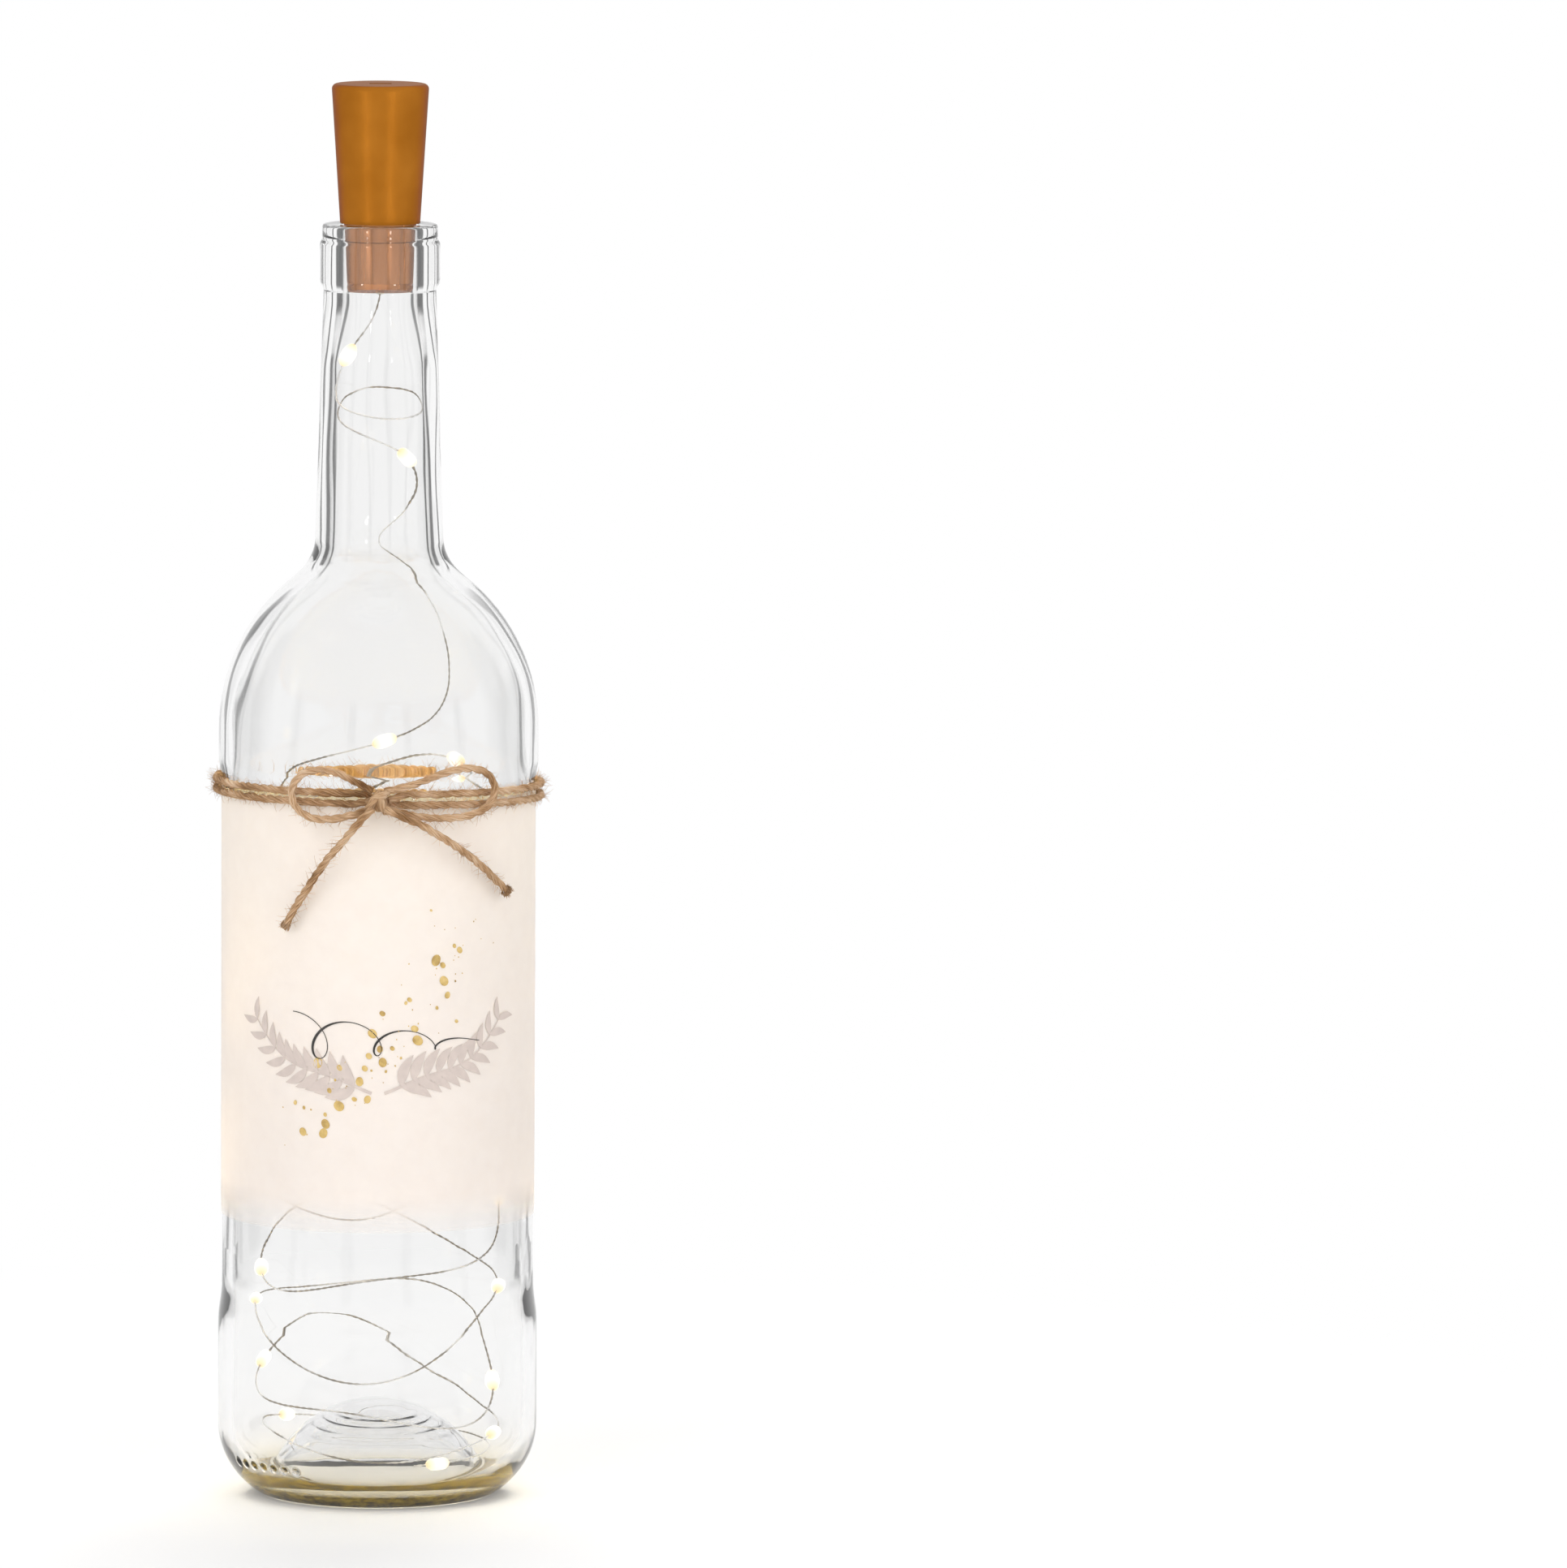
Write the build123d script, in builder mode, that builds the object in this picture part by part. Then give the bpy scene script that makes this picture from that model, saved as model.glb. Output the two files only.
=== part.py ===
"""Cork bottle light: a clear bottle with a film label, a twine bow and a lit wire hung from its stopper.

Millimetres, +Z up. The origin is the centre of the bottle's foot, on the surface that it stands on.
The bow is at the front, towards -Y.
"""

from build123d import *
from math import atan2, cos, dist, exp, pi, radians, sin, sqrt, tan
import os

# Bottle, outside
bottle_height = 300.0
contact_radius = 37.65
panel_recess = 0.95
panel_bottom = 44.0
panel_top = 170.0
panel_ramp = 2.5
panel_edge_fillet = 1.5
heel_height = 16.6
foot_radius = 28.0
foot_width = 3.0
punt_depth = 18.0
shoulder_start = 181.0
shoulder_radius = 46.0
neck_base_radius = 15.2
neck_top_radius = 13.2
neck_fillet = 11.0
ring_radius = 14.1
ring_height = 9.9
ring_slope = 1.4
lip_radius = 13.55
lip_height = 4.0
lip_fillet = 1.0
ring_fillet = 0.5

# Bottle, inside
wall = 2.4
bore_radius = 8.9
bore_depth = 19.0
throat_length = 13.0
throat_radius = 11.1
neck_wall = 3.0
throat_fillet = 4.0
floor_thickness = 4.5
dome_thickness = 4.0

# Label film
film_thickness = 0.2
film_gap = 0.15
film_bottom = 66.5
film_top = 167.6
film_seam = 1.5

# Twine, in two turns and a bow; bow points are sideways, outwards and upwards from the turns' front
twine_radius = 0.95
twine_height = 168.7
twine_gap = 0.2
turn_rise = 2.36
turn_fan = 0.5
turn_drop = 1.1
turn_lean = 0.65
strand_clearance = 0.3
knot_radius = 2.9
knot_half_height = 3.4
end_lift = 2.85
wrap_end_angle = 3.0
end_lift_angle = 8.0
end_spread_angle = 6.0
turn_step_angle = 14.0
left_loop_points = [
    (-1.4, 3.2, 2.4),
    (-4.4, 3.3, 3.8),
    (-7.9, 3.2, 5.8),
    (-11.7, 2.9, 7.0),
    (-15.5, 2.7, 6.9),
    (-18.6, 2.6, 5.4),
    (-20.3, 2.6, 2.7),
    (-20.3, 2.8, -0.4),
    (-18.6, 2.9, -3.0),
    (-15.5, 3.0, -4.5),
    (-11.7, 3.2, -4.6),
    (-7.9, 3.4, -3.9),
    (-4.4, 3.3, -2.8),
    (-1.4, 3.2, -1.7),
]
right_loop_points = [
    (1.4, 3.2, 2.3),
    (5.0, 3.4, 2.9),
    (9.3, 3.4, 4.1),
    (13.8, 3.2, 5.8),
    (18.0, 3.0, 7.0),
    (22.0, 2.9, 7.1),
    (25.3, 2.8, 5.7),
    (27.1, 2.8, 3.0),
    (27.1, 2.9, 0.0),
    (25.3, 3.0, -2.5),
    (22.0, 3.2, -3.9),
    (17.8, 3.2, -4.4),
    (13.1, 3.2, -4.3),
    (8.7, 3.3, -3.7),
    (4.8, 3.3, -2.7),
    (1.4, 3.2, -1.8),
]
left_tail_points = [
    (-1.4, 6.2, -1.5),
    (-4.2, 6.6, -4.0),
    (-7.9, 6.2, -8.9),
    (-12.2, 4.4, -13.9),
    (-15.7, 2.6, -19.6),
    (-19.2, 1.6, -25.3),
    (-22.0, 1.6, -30.8),
]
right_tail_points = [
    (1.4, 6.2, -1.5),
    (4.6, 6.8, -3.0),
    (9.6, 6.6, -5.1),
    (15.0, 5.2, -8.7),
    (20.6, 3.4, -12.9),
    (26.0, 2.2, -18.1),
    (30.4, 1.8, -23.4),
]

# Stopper sleeve
cap_top_radius = 11.45
cap_rim_radius = 9.4
cap_height = 32.6
cap_fillet = 1.2
seat_gap = 0.25
collar_radius = 8.5
collar_length = 4.6
seam_radius = 8.15
sleeve_wall = 1.6
sleeve_top = 2.2
rib_width = 1.4
rib_count = 4
fit_clearance = 0.15
slot_clearance = 0.3

# Battery carrier and its end plug
carrier_radius = 7.0
plug_length = 9.6
plug_end_radius = 7.75
plug_chamfer = 0.6
plug_wall = 1.8
cavity_radius = 5.4
bay_floor = 1.5
bay_roof = 1.2
deck = 1.2
lead_slot_width = 1.6
lead_slot_depth = 0.6

# Button cells and contacts
cell_radius = 5.8
cell_height = 5.4
cell_count = 3
cell_clearance = 0.15
cell_cap_radius = 4.7
cell_cap_height = 0.8
cell_cap_step = 0.2
cell_gasket_width = 0.5
plate_thickness = 0.3
plate_radius = 5.0
tab_width = 1.6
tab_reach = 1.5
tab_clearance = 0.1
spring_wire = 0.25
spring_height = 2.8
spring_base_radius = 4.3
spring_top_radius = 1.6
spring_turns = 2.25

# Slide switch
switch_length = 9.0
switch_width = 4.6
switch_height = 4.6
switch_floor = 1.0
switch_roof = 1.2
switch_wall = 0.6
switch_gap = 0.4
slider_length = 3.6
slider_height = 1.4
knob_length = 2.2
knob_width = 2.0
knob_recess = 0.6
slide_travel = 2.4
slide_clearance = 0.15
wiper_thickness = 0.3
terminal_width = 0.8
terminal_thickness = 0.4
terminal_pitch = 2.5
terminal_reach = 1.3

# Wiring in the stopper
lead_radius = 0.2
resistor_radius = 0.85
resistor_waist = 0.7
resistor_cap_length = 0.6
resistor_length = 2.2
seal_hole_radius = 1.2
seal_flange_radius = 2.2
seal_flange = 1.2
seal_nub = 1.2
seal_nub_radius = 0.7
lead_spread = 0.6
lead_bend = 1.2

# Light wire and its lamps
light_wire_radius = 0.3
lamp_count = 20
lamp_spacing = 97.14
first_lamp = 17.3
lamp_radius = 1.6
lamp_length = 6.0
lamp_fillet = 1.5
chip_width = 1.1
chip_thickness = 0.9
chip_length = 1.7
neck_route_points = [
    (0.0, 0.0, 0.0),
    (0.0, -0.3, -2.6),
    (-2.4, -1.2, -8.0),
    (-5.8, -2.2, -12.2),
    (-8.2, -2.7, -17.0),
    (-10.2, -1.8, -22.2),
    (-9.7, -4.8, -26.6),
    (-5.8, -8.9, -28.7),
    (0.0, -10.5, -29.8),
    (5.8, -8.8, -29.9),
    (9.7, -4.2, -28.7),
    (10.4, 1.2, -27.0),
    (8.1, 6.8, -25.2),
    (3.0, 10.0, -24.2),
    (-3.0, 10.0, -24.2),
    (-7.9, 7.0, -25.4),
    (-10.4, 1.9, -27.7),
    (-9.7, -3.4, -30.8),
    (-5.2, -6.9, -33.4),
    (0.2, -7.4, -35.4),
    (5.2, -5.8, -38.0),
    (8.4, -2.4, -42.4),
    (9.2, 1.6, -47.8),
    (7.4, 5.2, -52.6),
    (4.0, 7.2, -55.4),
    (0.8, 7.6, -57.6),
    (-0.6, 7.6, -60.2),
    (0.6, 7.4, -62.8),
    (4.0, 7.0, -65.4),
    (8.6, 6.8, -68.8),
    (12.4, 6.6, -73.6),
    (15.2, 6.2, -79.8),
    (16.8, 4.8, -86.4),
    (17.0, 2.0, -92.2),
    (15.8, -2.4, -96.8),
    (13.4, -7.2, -100.0),
    (9.6, -11.6, -102.0),
]
coil_radius = 28.5
coil_turns = 9.06
coil_growth = 0.433
coil_sway = 1.4
coil_sway_rate = 0.675
coil_shake = 0.9
coil_shake_rate = 2.619
coil_tilt = 11.08
coil_tilt_rate = 1.041
coil_tilt_phase = -0.596
coil_ripple = 3.4
coil_ripple_rate = 2.473
coil_ripple_phase = 0.632
coil_foot_radius = 27.1
coil_foot_turns = 1.4
coil_foot_height = 9.6
coil_settle = 1.439

# Heights and radii that follow from those sizes
panel_radius = contact_radius - panel_recess
inner_radius = panel_radius - wall
inner_shoulder_radius = shoulder_radius - panel_recess - wall
ring_top = bottle_height - lip_height
ring_bottom = ring_top - ring_height
neck_inner_base_radius = neck_base_radius - neck_wall
film_inner_radius = panel_radius + film_gap
turn_radius = film_inner_radius + film_thickness + twine_gap + twine_radius
knot_standoff = twine_radius + strand_clearance + knot_radius
cap_rim = bottle_height + seat_gap
cap_top = cap_rim + cap_height
cap_ceiling = cap_top - sleeve_top
seam = cap_rim - collar_length
plug_end = seam - plug_length
bay_radius = cell_radius + cell_clearance
bay_bottom = seam + bay_floor / 2
spring_bottom = bay_bottom + plate_thickness
cells_bottom = spring_bottom + spring_height
cells_top = cells_bottom + cell_count * cell_height
bay_top = cells_top + plate_thickness
roof_top = bay_top + bay_roof
switch_top = cap_ceiling - switch_gap
deck_top = switch_top - switch_height
deck_bottom = deck_top - deck
terminal_end = deck_bottom - terminal_reach
slide_bottom = deck_top + switch_floor
slide_top = switch_top - switch_roof
seal_end = plug_end - seal_nub
seal_top = plug_end + plug_wall + seal_flange
bore_fit = carrier_radius + fit_clearance
knob_rest = -slide_travel / 2


def arc_corner_height(outer, radius, start, reached):
    """Height at which the shoulder arc, leaving the radius outer upright at start, reaches another radius."""
    return start + sqrt(radius**2 - (radius - outer + reached) ** 2)


def nearest(vertices, *places):
    """The vertex that lies nearest to each place."""
    return [vertices.sort_by_distance(place)[0] for place in places]


def front_place(sideways, standoff, up):
    """A point of the bow: along and off the front of the twine's turns."""
    outwards = turn_radius + standoff
    return Vector(sideways, -sqrt(outwards**2 - sideways**2), twine_height + up)


def cord_radii(points):
    """The largest arc that each corner of a cord has room for."""
    radii = []
    for before, corner, after in zip(points, points[1:], points[2:]):
        run_in = corner - before
        run_out = after - corner
        half_turn = radians(run_in.get_angle(run_out)) / 2
        radii.append(0.45 * min(run_in.length, run_out.length) / tan(half_turn))
    return radii


def cord_route(name, points):
    """Straight runs joined by tangent arcs."""
    radii = cord_radii(points)
    print(f"{name} bend radii:", " ".join(f"{radius:.1f}" for radius in radii))
    with BuildLine() as route:
        FilletPolyline(*points, radius=radii)
    return route.wire()


def winding_route(places):
    """An unbroken line through turns given by a formula: two tangent arcs from each place to the next.

    places is a list of (point, direction); the line runs straight on where the two arcs would be flat.
    """
    with BuildLine() as route:
        for (start, leaving), (end, arriving) in zip(places, places[1:]):
            chord = end - start
            bend = 2 * (1 - leaving.dot(arriving))
            along = chord.dot(leaving + arriving)
            reach = chord.dot(chord) / (along + sqrt(along**2 + bend * chord.dot(chord)))
            first_handle = start + leaving * reach
            last_handle = end - arriving * reach
            middle = (first_handle + last_handle) * 0.5
            TangentArc(start, middle, tangent=leaving)
            TangentArc(middle, end, tangent=last_handle - first_handle)
    return route.wire()


def winding_places(formula, stations):
    """Points of a formula with the direction in which it runs there."""
    step = 1e-4
    return [
        (formula(station), (formula(station + step) - formula(station - step)).normalized())
        for station in stations
    ]


def least_gap(name, formula, first, last, radius):
    """Print the smallest space between a winding and itself, on points at least half a turn apart."""
    steps_per_turn = 200
    steps = round((last - first) * steps_per_turn)
    points = [tuple(formula(first + (last - first) * step / steps)) for step in range(steps + 1)]
    closest = min(
        dist(points[here], points[there])
        for here in range(len(points))
        for there in range(here + steps_per_turn // 2, len(points))
    )
    print(f"{name} least gap to itself: {closest - 2 * radius:.2f} mm")


def ease(share):
    """Smooth step from 0 to 1."""
    share = min(max(share, 0.0), 1.0)
    return share * share * (3 - 2 * share)


def end_plane(route):
    """Plane square to the start of a route."""
    return Plane(origin=route @ 0, z_dir=route % 0)


# Bottle: one revolved wall with its punt, panel, shoulder, ring and lip
neck_corner = arc_corner_height(contact_radius, shoulder_radius, shoulder_start, neck_base_radius)
inner_neck_corner = arc_corner_height(
    inner_radius, inner_shoulder_radius, shoulder_start, neck_inner_base_radius
)
throat = bottle_height - bore_depth - throat_length
with BuildPart() as bottle:
    with BuildSketch(Plane.XZ) as bottle_section:
        with BuildLine():
            TangentArc((0, punt_depth), (foot_radius - foot_width, 0), tangent=(1, 0))
            Line((foot_radius - foot_width, 0), (foot_radius, 0))
            TangentArc((contact_radius, heel_height), (foot_radius, 0), tangent=(0, -1))
            Polyline(
                (contact_radius, heel_height),
                (contact_radius, panel_bottom),
                (panel_radius, panel_bottom + panel_ramp),
                (panel_radius, panel_top),
                (contact_radius, panel_top + panel_ramp),
                (contact_radius, shoulder_start),
            )
            TangentArc(
                (contact_radius, shoulder_start), (neck_base_radius, neck_corner), tangent=(0, 1)
            )
            Polyline(
                (neck_base_radius, neck_corner),
                (neck_top_radius, ring_bottom - ring_slope),
                (ring_radius, ring_bottom),
                (ring_radius, ring_top),
                (lip_radius, ring_top),
                (lip_radius, bottle_height),
                (bore_radius, bottle_height),
                (bore_radius, bottle_height - bore_depth),
                (throat_radius, throat),
                (neck_inner_base_radius, inner_neck_corner),
            )
            TangentArc(
                (inner_radius, shoulder_start),
                (neck_inner_base_radius, inner_neck_corner),
                tangent=(0, 1),
            )
            Line((inner_radius, shoulder_start), (inner_radius, heel_height))
            TangentArc(
                (inner_radius, heel_height),
                (foot_radius - foot_width / 2, floor_thickness),
                tangent=(0, -1),
            )
            Line(
                (foot_radius - foot_width / 2, floor_thickness),
                (foot_radius - foot_width, floor_thickness),
            )
            TangentArc(
                (0, punt_depth + dome_thickness),
                (foot_radius - foot_width, floor_thickness),
                tangent=(1, 0),
            )
            Line((0, punt_depth + dome_thickness), (0, punt_depth))
        make_face()
        fillet(
            nearest(
                bottle_section.vertices(),
                (panel_radius, panel_bottom + panel_ramp),
                (panel_radius, panel_top),
            ),
            panel_edge_fillet,
        )
        fillet(nearest(bottle_section.vertices(), (neck_base_radius, neck_corner)), neck_fillet)
        fillet(
            nearest(bottle_section.vertices(), (neck_inner_base_radius, inner_neck_corner)),
            neck_fillet + neck_wall,
        )
        fillet(
            nearest(
                bottle_section.vertices(),
                (throat_radius, throat),
                (bore_radius, bottle_height - bore_depth),
            ),
            throat_fillet,
        )
        fillet(
            nearest(
                bottle_section.vertices(), (ring_radius, ring_bottom), (ring_radius, ring_top)
            ),
            ring_fillet,
        )
        fillet(
            nearest(
                bottle_section.vertices(), (lip_radius, bottle_height), (bore_radius, bottle_height)
            ),
            lip_fillet,
        )
    revolve(axis=Axis.Z)

# Label film: a thin sheet round the panel, with its seam at the back
with BuildPart() as label_film:
    with BuildSketch(Plane.XY.offset(film_bottom)):
        Circle(film_inner_radius + film_thickness)
        Circle(film_inner_radius, mode=Mode.SUBTRACT)
        with Locations((0, film_inner_radius)):
            Rectangle(film_seam, film_inner_radius, mode=Mode.SUBTRACT)
    extrude(amount=film_top - film_bottom)


# Twine wrap: two turns side by side that hang lower at the back and the right; they step down behind
# the knot, and both ends are lifted into it
def wrap_point(turn):
    """Point of the twine's turns; turn 0, 1 and 2 are at the knot."""
    from_end = 360 * min(turn, 2 - turn)
    past_middle = 360 * (turn - 1)
    lift = end_lift * (1 - ease((from_end - wrap_end_angle) / end_lift_angle))
    spread = ease((from_end - wrap_end_angle) / end_spread_angle)
    angle = 2 * pi * turn
    apart = turn_rise + turn_fan * (1 + sin(angle)) ** 2 / 4
    up = apart * (0.5 - ease(past_middle / turn_step_angle + 0.5)) * spread
    hang = turn_drop * (1 - cos(angle)) + turn_lean * sin(angle)
    outwards = turn_radius + lift
    return Vector(outwards * sin(angle), -outwards * cos(angle), twine_height + up - hang)


wrap_end = wrap_end_angle / 360
near_knot = [wrap_end + end_lift_angle / 360 * share for share in (0, 0.33, 0.67, 1, 2)]
first_turn = near_knot + [step / 8 for step in range(1, 8)]
under_knot = [1 + turn_step_angle / 360 * share for share in (-0.65, -0.3, 0, 0.3, 0.65)]
last_turn = [2 - station for station in reversed(first_turn)]
wrap_route = winding_route(winding_places(wrap_point, first_turn + under_knot + last_turn))
least_gap("twine_wrap", wrap_point, wrap_end, 2 - wrap_end, twine_radius)
with BuildPart() as twine_wrap:
    with BuildSketch(end_plane(wrap_route)):
        Circle(twine_radius)
    sweep(path=wrap_route)

# Twine knot: an egg-shaped lump in front of the turns
with BuildPart() as twine_knot:
    knot_plane = Plane(
        origin=(0, -turn_radius - knot_standoff, twine_height), x_dir=(1, 0, 0), z_dir=(0, -1, 0)
    )
    with BuildSketch(knot_plane):
        Ellipse(knot_radius, knot_half_height)
        with Locations((-knot_radius / 2, 0)):
            Rectangle(knot_radius, 2 * knot_half_height, mode=Mode.SUBTRACT)
    revolve(axis=Axis(knot_plane.origin, (0, 0, 1)))

# Bow: two loops and two loose tails
left_loop_route = cord_route("bow_loop_left", [front_place(*place) for place in left_loop_points])
with BuildPart() as bow_loop_left:
    with BuildSketch(end_plane(left_loop_route)):
        Circle(twine_radius)
    sweep(path=left_loop_route)

right_loop_route = cord_route("bow_loop_right", [front_place(*place) for place in right_loop_points])
with BuildPart() as bow_loop_right:
    with BuildSketch(end_plane(right_loop_route)):
        Circle(twine_radius)
    sweep(path=right_loop_route)

left_tail_route = cord_route("bow_tail_left", [front_place(*place) for place in left_tail_points])
with BuildPart() as bow_tail_left:
    with BuildSketch(end_plane(left_tail_route)):
        Circle(twine_radius)
    sweep(path=left_tail_route)

right_tail_route = cord_route("bow_tail_right", [front_place(*place) for place in right_tail_points])
with BuildPart() as bow_tail_right:
    with BuildSketch(end_plane(right_tail_route)):
        Circle(twine_radius)
    sweep(path=right_tail_route)

# Stopper sleeve: a tapered cap and collar, ribbed inside, with a slot for the switch knob
rib_angles = [2 * pi * (rib + 0.5) / rib_count for rib in range(rib_count)]
rib_planes = [
    Plane((0, 0, 0), x_dir=(cos(angle), sin(angle), 0), z_dir=(sin(angle), -cos(angle), 0))
    for angle in rib_angles
]
with BuildPart() as stopper_sleeve:
    with BuildSketch(Plane.XZ) as sleeve_section:
        with BuildLine():
            Polyline(
                (bore_fit, seam),
                (seam_radius, seam),
                (collar_radius, cap_rim),
                (cap_rim_radius, cap_rim),
                (cap_top_radius, cap_top),
                (0, cap_top),
                (0, cap_ceiling),
                (cap_top_radius - sleeve_wall, cap_ceiling),
                (cap_rim_radius - sleeve_wall, cap_rim + sleeve_wall),
                (bore_fit, cap_rim + sleeve_wall),
                close=True,
            )
        make_face()
        fillet(nearest(sleeve_section.vertices(), (cap_top_radius, cap_top)), cap_fillet)
    revolve(axis=Axis.Z)
    with BuildSketch(*rib_planes):
        with BuildLine():
            Polyline(
                (bore_fit, cap_rim + sleeve_wall / 2),
                (cap_rim_radius - sleeve_wall / 2, cap_rim + sleeve_wall / 2),
                (cap_top_radius - sleeve_wall / 2, cap_ceiling + sleeve_top / 2),
                (bore_fit, cap_ceiling + sleeve_top / 2),
                close=True,
            )
        make_face()
    extrude(amount=rib_width / 2, both=True)
    with BuildSketch(Plane.XY.offset(cap_ceiling)):
        RectangleRounded(
            knob_length + slide_travel + 2 * slot_clearance,
            knob_width + 2 * slot_clearance,
            slot_clearance,
        )
    extrude(amount=sleeve_top, mode=Mode.SUBTRACT)

# Battery carrier: end plug, cradle for the cells, and deck for the switch
with BuildPart() as battery_carrier:
    with BuildSketch(Plane.XZ) as carrier_section:
        with BuildLine():
            Polyline(
                (0, plug_end),
                (plug_end_radius, plug_end),
                (seam_radius, seam),
                (carrier_radius, seam),
                (carrier_radius, deck_top),
                (0, deck_top),
                close=True,
            )
        make_face()
        chamfer(nearest(carrier_section.vertices(), (plug_end_radius, plug_end)), plug_chamfer)
    revolve(axis=Axis.Z)
    with BuildSketch(Plane.XY.offset(plug_end)):
        Circle(seal_hole_radius)
    extrude(amount=plug_wall, mode=Mode.SUBTRACT)
    with BuildSketch(Plane.XY.offset(plug_end + plug_wall)):
        Circle(cavity_radius)
    extrude(amount=seam - bay_floor / 2 - plug_end - plug_wall, mode=Mode.SUBTRACT)
    for room_bottom, room_top in ((bay_bottom, bay_top), (roof_top, deck_bottom)):
        with BuildSketch(Plane.XY.offset(room_bottom)):
            Circle(bay_radius)
            with Locations((0, -carrier_radius)):
                Rectangle(2 * bay_radius, 2 * carrier_radius)
        extrude(amount=room_top - room_bottom, mode=Mode.SUBTRACT)
    with BuildSketch(Plane.XY.offset(seam - bay_floor / 2)):
        with Locations((-spring_base_radius + tab_width / 2, 0)):
            Rectangle(plate_thickness + 2 * tab_clearance, tab_width + 2 * tab_clearance)
    extrude(amount=bay_floor, mode=Mode.SUBTRACT)
    with BuildSketch(Plane.XY.offset(bay_top)):
        with Locations((-terminal_pitch, 0)):
            Rectangle(tab_width + 2 * tab_clearance, plate_thickness + 2 * tab_clearance)
    extrude(amount=bay_roof, mode=Mode.SUBTRACT)
    with BuildSketch(Plane.XY.offset(deck_bottom)):
        with GridLocations(terminal_pitch, 0, 3, 1):
            Rectangle(
                terminal_width + 2 * tab_clearance, terminal_thickness + 2 * tab_clearance
            )
    extrude(amount=deck, mode=Mode.SUBTRACT)
    groove_bottom = seam - bay_floor / 2 - 2 * lead_slot_width
    groove_top = roof_top + 2 * lead_slot_width
    groove_floor = carrier_radius - lead_slot_depth
    with BuildSketch(Plane.XY.offset(groove_bottom)):
        with Locations((0, groove_floor + carrier_radius / 2)):
            Rectangle(lead_slot_width, carrier_radius)
        Circle(carrier_radius, mode=Mode.INTERSECT)
    extrude(amount=groove_top - groove_bottom, mode=Mode.SUBTRACT)
    for hole_bottom in (groove_bottom, roof_top):
        with BuildSketch(Plane.XY.offset(hole_bottom)):
            with Locations((0, (cavity_radius + carrier_radius) / 2 - lead_slot_depth)):
                Rectangle(lead_slot_width, carrier_radius - cavity_radius)
        extrude(amount=2 * lead_slot_width, mode=Mode.SUBTRACT)

# Button cells: cans, caps and the gaskets between them, stacked with the caps downwards
cell_levels = [(0, 0, cells_bottom + cell * cell_height) for cell in range(cell_count)]
can_levels = [(x, y, level + cell_cap_step) for x, y, level in cell_levels]
with BuildPart() as cell_cans:
    with BuildSketch(*[Plane(level) for level in can_levels]):
        Circle(cell_radius)
    extrude(amount=cell_height - cell_cap_step)
    with BuildSketch(*[Plane(level) for level in can_levels]):
        Circle(cell_cap_radius + cell_gasket_width)
    extrude(amount=cell_cap_height - cell_cap_step, mode=Mode.SUBTRACT)

with BuildPart() as cell_caps:
    with BuildSketch(*[Plane(level) for level in cell_levels]):
        Circle(cell_cap_radius)
    extrude(amount=cell_cap_height)

with BuildPart() as cell_gaskets:
    with BuildSketch(*[Plane(level) for level in can_levels]):
        Circle(cell_cap_radius + cell_gasket_width)
        Circle(cell_cap_radius, mode=Mode.SUBTRACT)
    extrude(amount=cell_cap_height - cell_cap_step)

# Contact plates with their tabs
with BuildPart() as negative_plate:
    with BuildSketch(Plane.XY.offset(bay_bottom)):
        Circle(plate_radius)
    extrude(amount=plate_thickness)
    with BuildSketch(Plane.XY.offset(bay_bottom)):
        with Locations((-spring_base_radius + tab_width / 2, 0)):
            Rectangle(plate_thickness, tab_width)
    extrude(amount=-bay_floor - tab_reach)

with BuildPart() as positive_plate:
    with BuildSketch(Plane.XY.offset(cells_top)):
        Circle(plate_radius)
    extrude(amount=plate_thickness)
    with BuildSketch(Plane.XY.offset(bay_top)):
        with Locations((-terminal_pitch, 0)):
            Rectangle(tab_width, plate_thickness)
    extrude(amount=bay_roof + tab_reach)


# Battery spring: a cone of turns between the negative plate and the lowest cell
def spring_point(turn):
    """Point of the spring's line, rising and drawing in steadily."""
    share = turn / spring_turns
    angle = 2 * pi * turn
    radius = spring_base_radius + (spring_top_radius - spring_base_radius) * share
    height = spring_bottom + spring_wire + (spring_height - 2 * spring_wire) * share
    return Vector(radius * cos(angle), radius * sin(angle), height)


spring_stations = [station / 4 for station in range(int(4 * spring_turns) + 1)]
spring_route = winding_route(winding_places(spring_point, spring_stations))
least_gap("battery_spring", spring_point, 0, spring_turns, spring_wire)
with BuildPart() as battery_spring:
    with BuildSketch(end_plane(spring_route)):
        Circle(spring_wire)
    sweep(path=spring_route)

# Slide switch: housing, captive knob, wiper and terminals
with BuildPart() as switch_housing:
    with BuildSketch(Plane.XY.offset(deck_top)):
        Rectangle(switch_length, switch_width)
    extrude(amount=switch_height)
    with BuildSketch(Plane.XY.offset(slide_bottom)):
        Rectangle(switch_length - 2 * switch_wall, switch_width - 2 * switch_wall)
    extrude(amount=slide_top - slide_bottom, mode=Mode.SUBTRACT)
    with BuildSketch(Plane.XY.offset(slide_top)):
        Rectangle(
            knob_length + slide_travel + 2 * slide_clearance, knob_width + 2 * slide_clearance
        )
    extrude(amount=switch_roof, mode=Mode.SUBTRACT)
    with BuildSketch(Plane.XY.offset(deck_top)):
        with GridLocations(terminal_pitch, 0, 3, 1):
            Rectangle(
                terminal_width + 2 * tab_clearance, terminal_thickness + 2 * tab_clearance
            )
    extrude(amount=switch_floor, mode=Mode.SUBTRACT)

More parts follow.
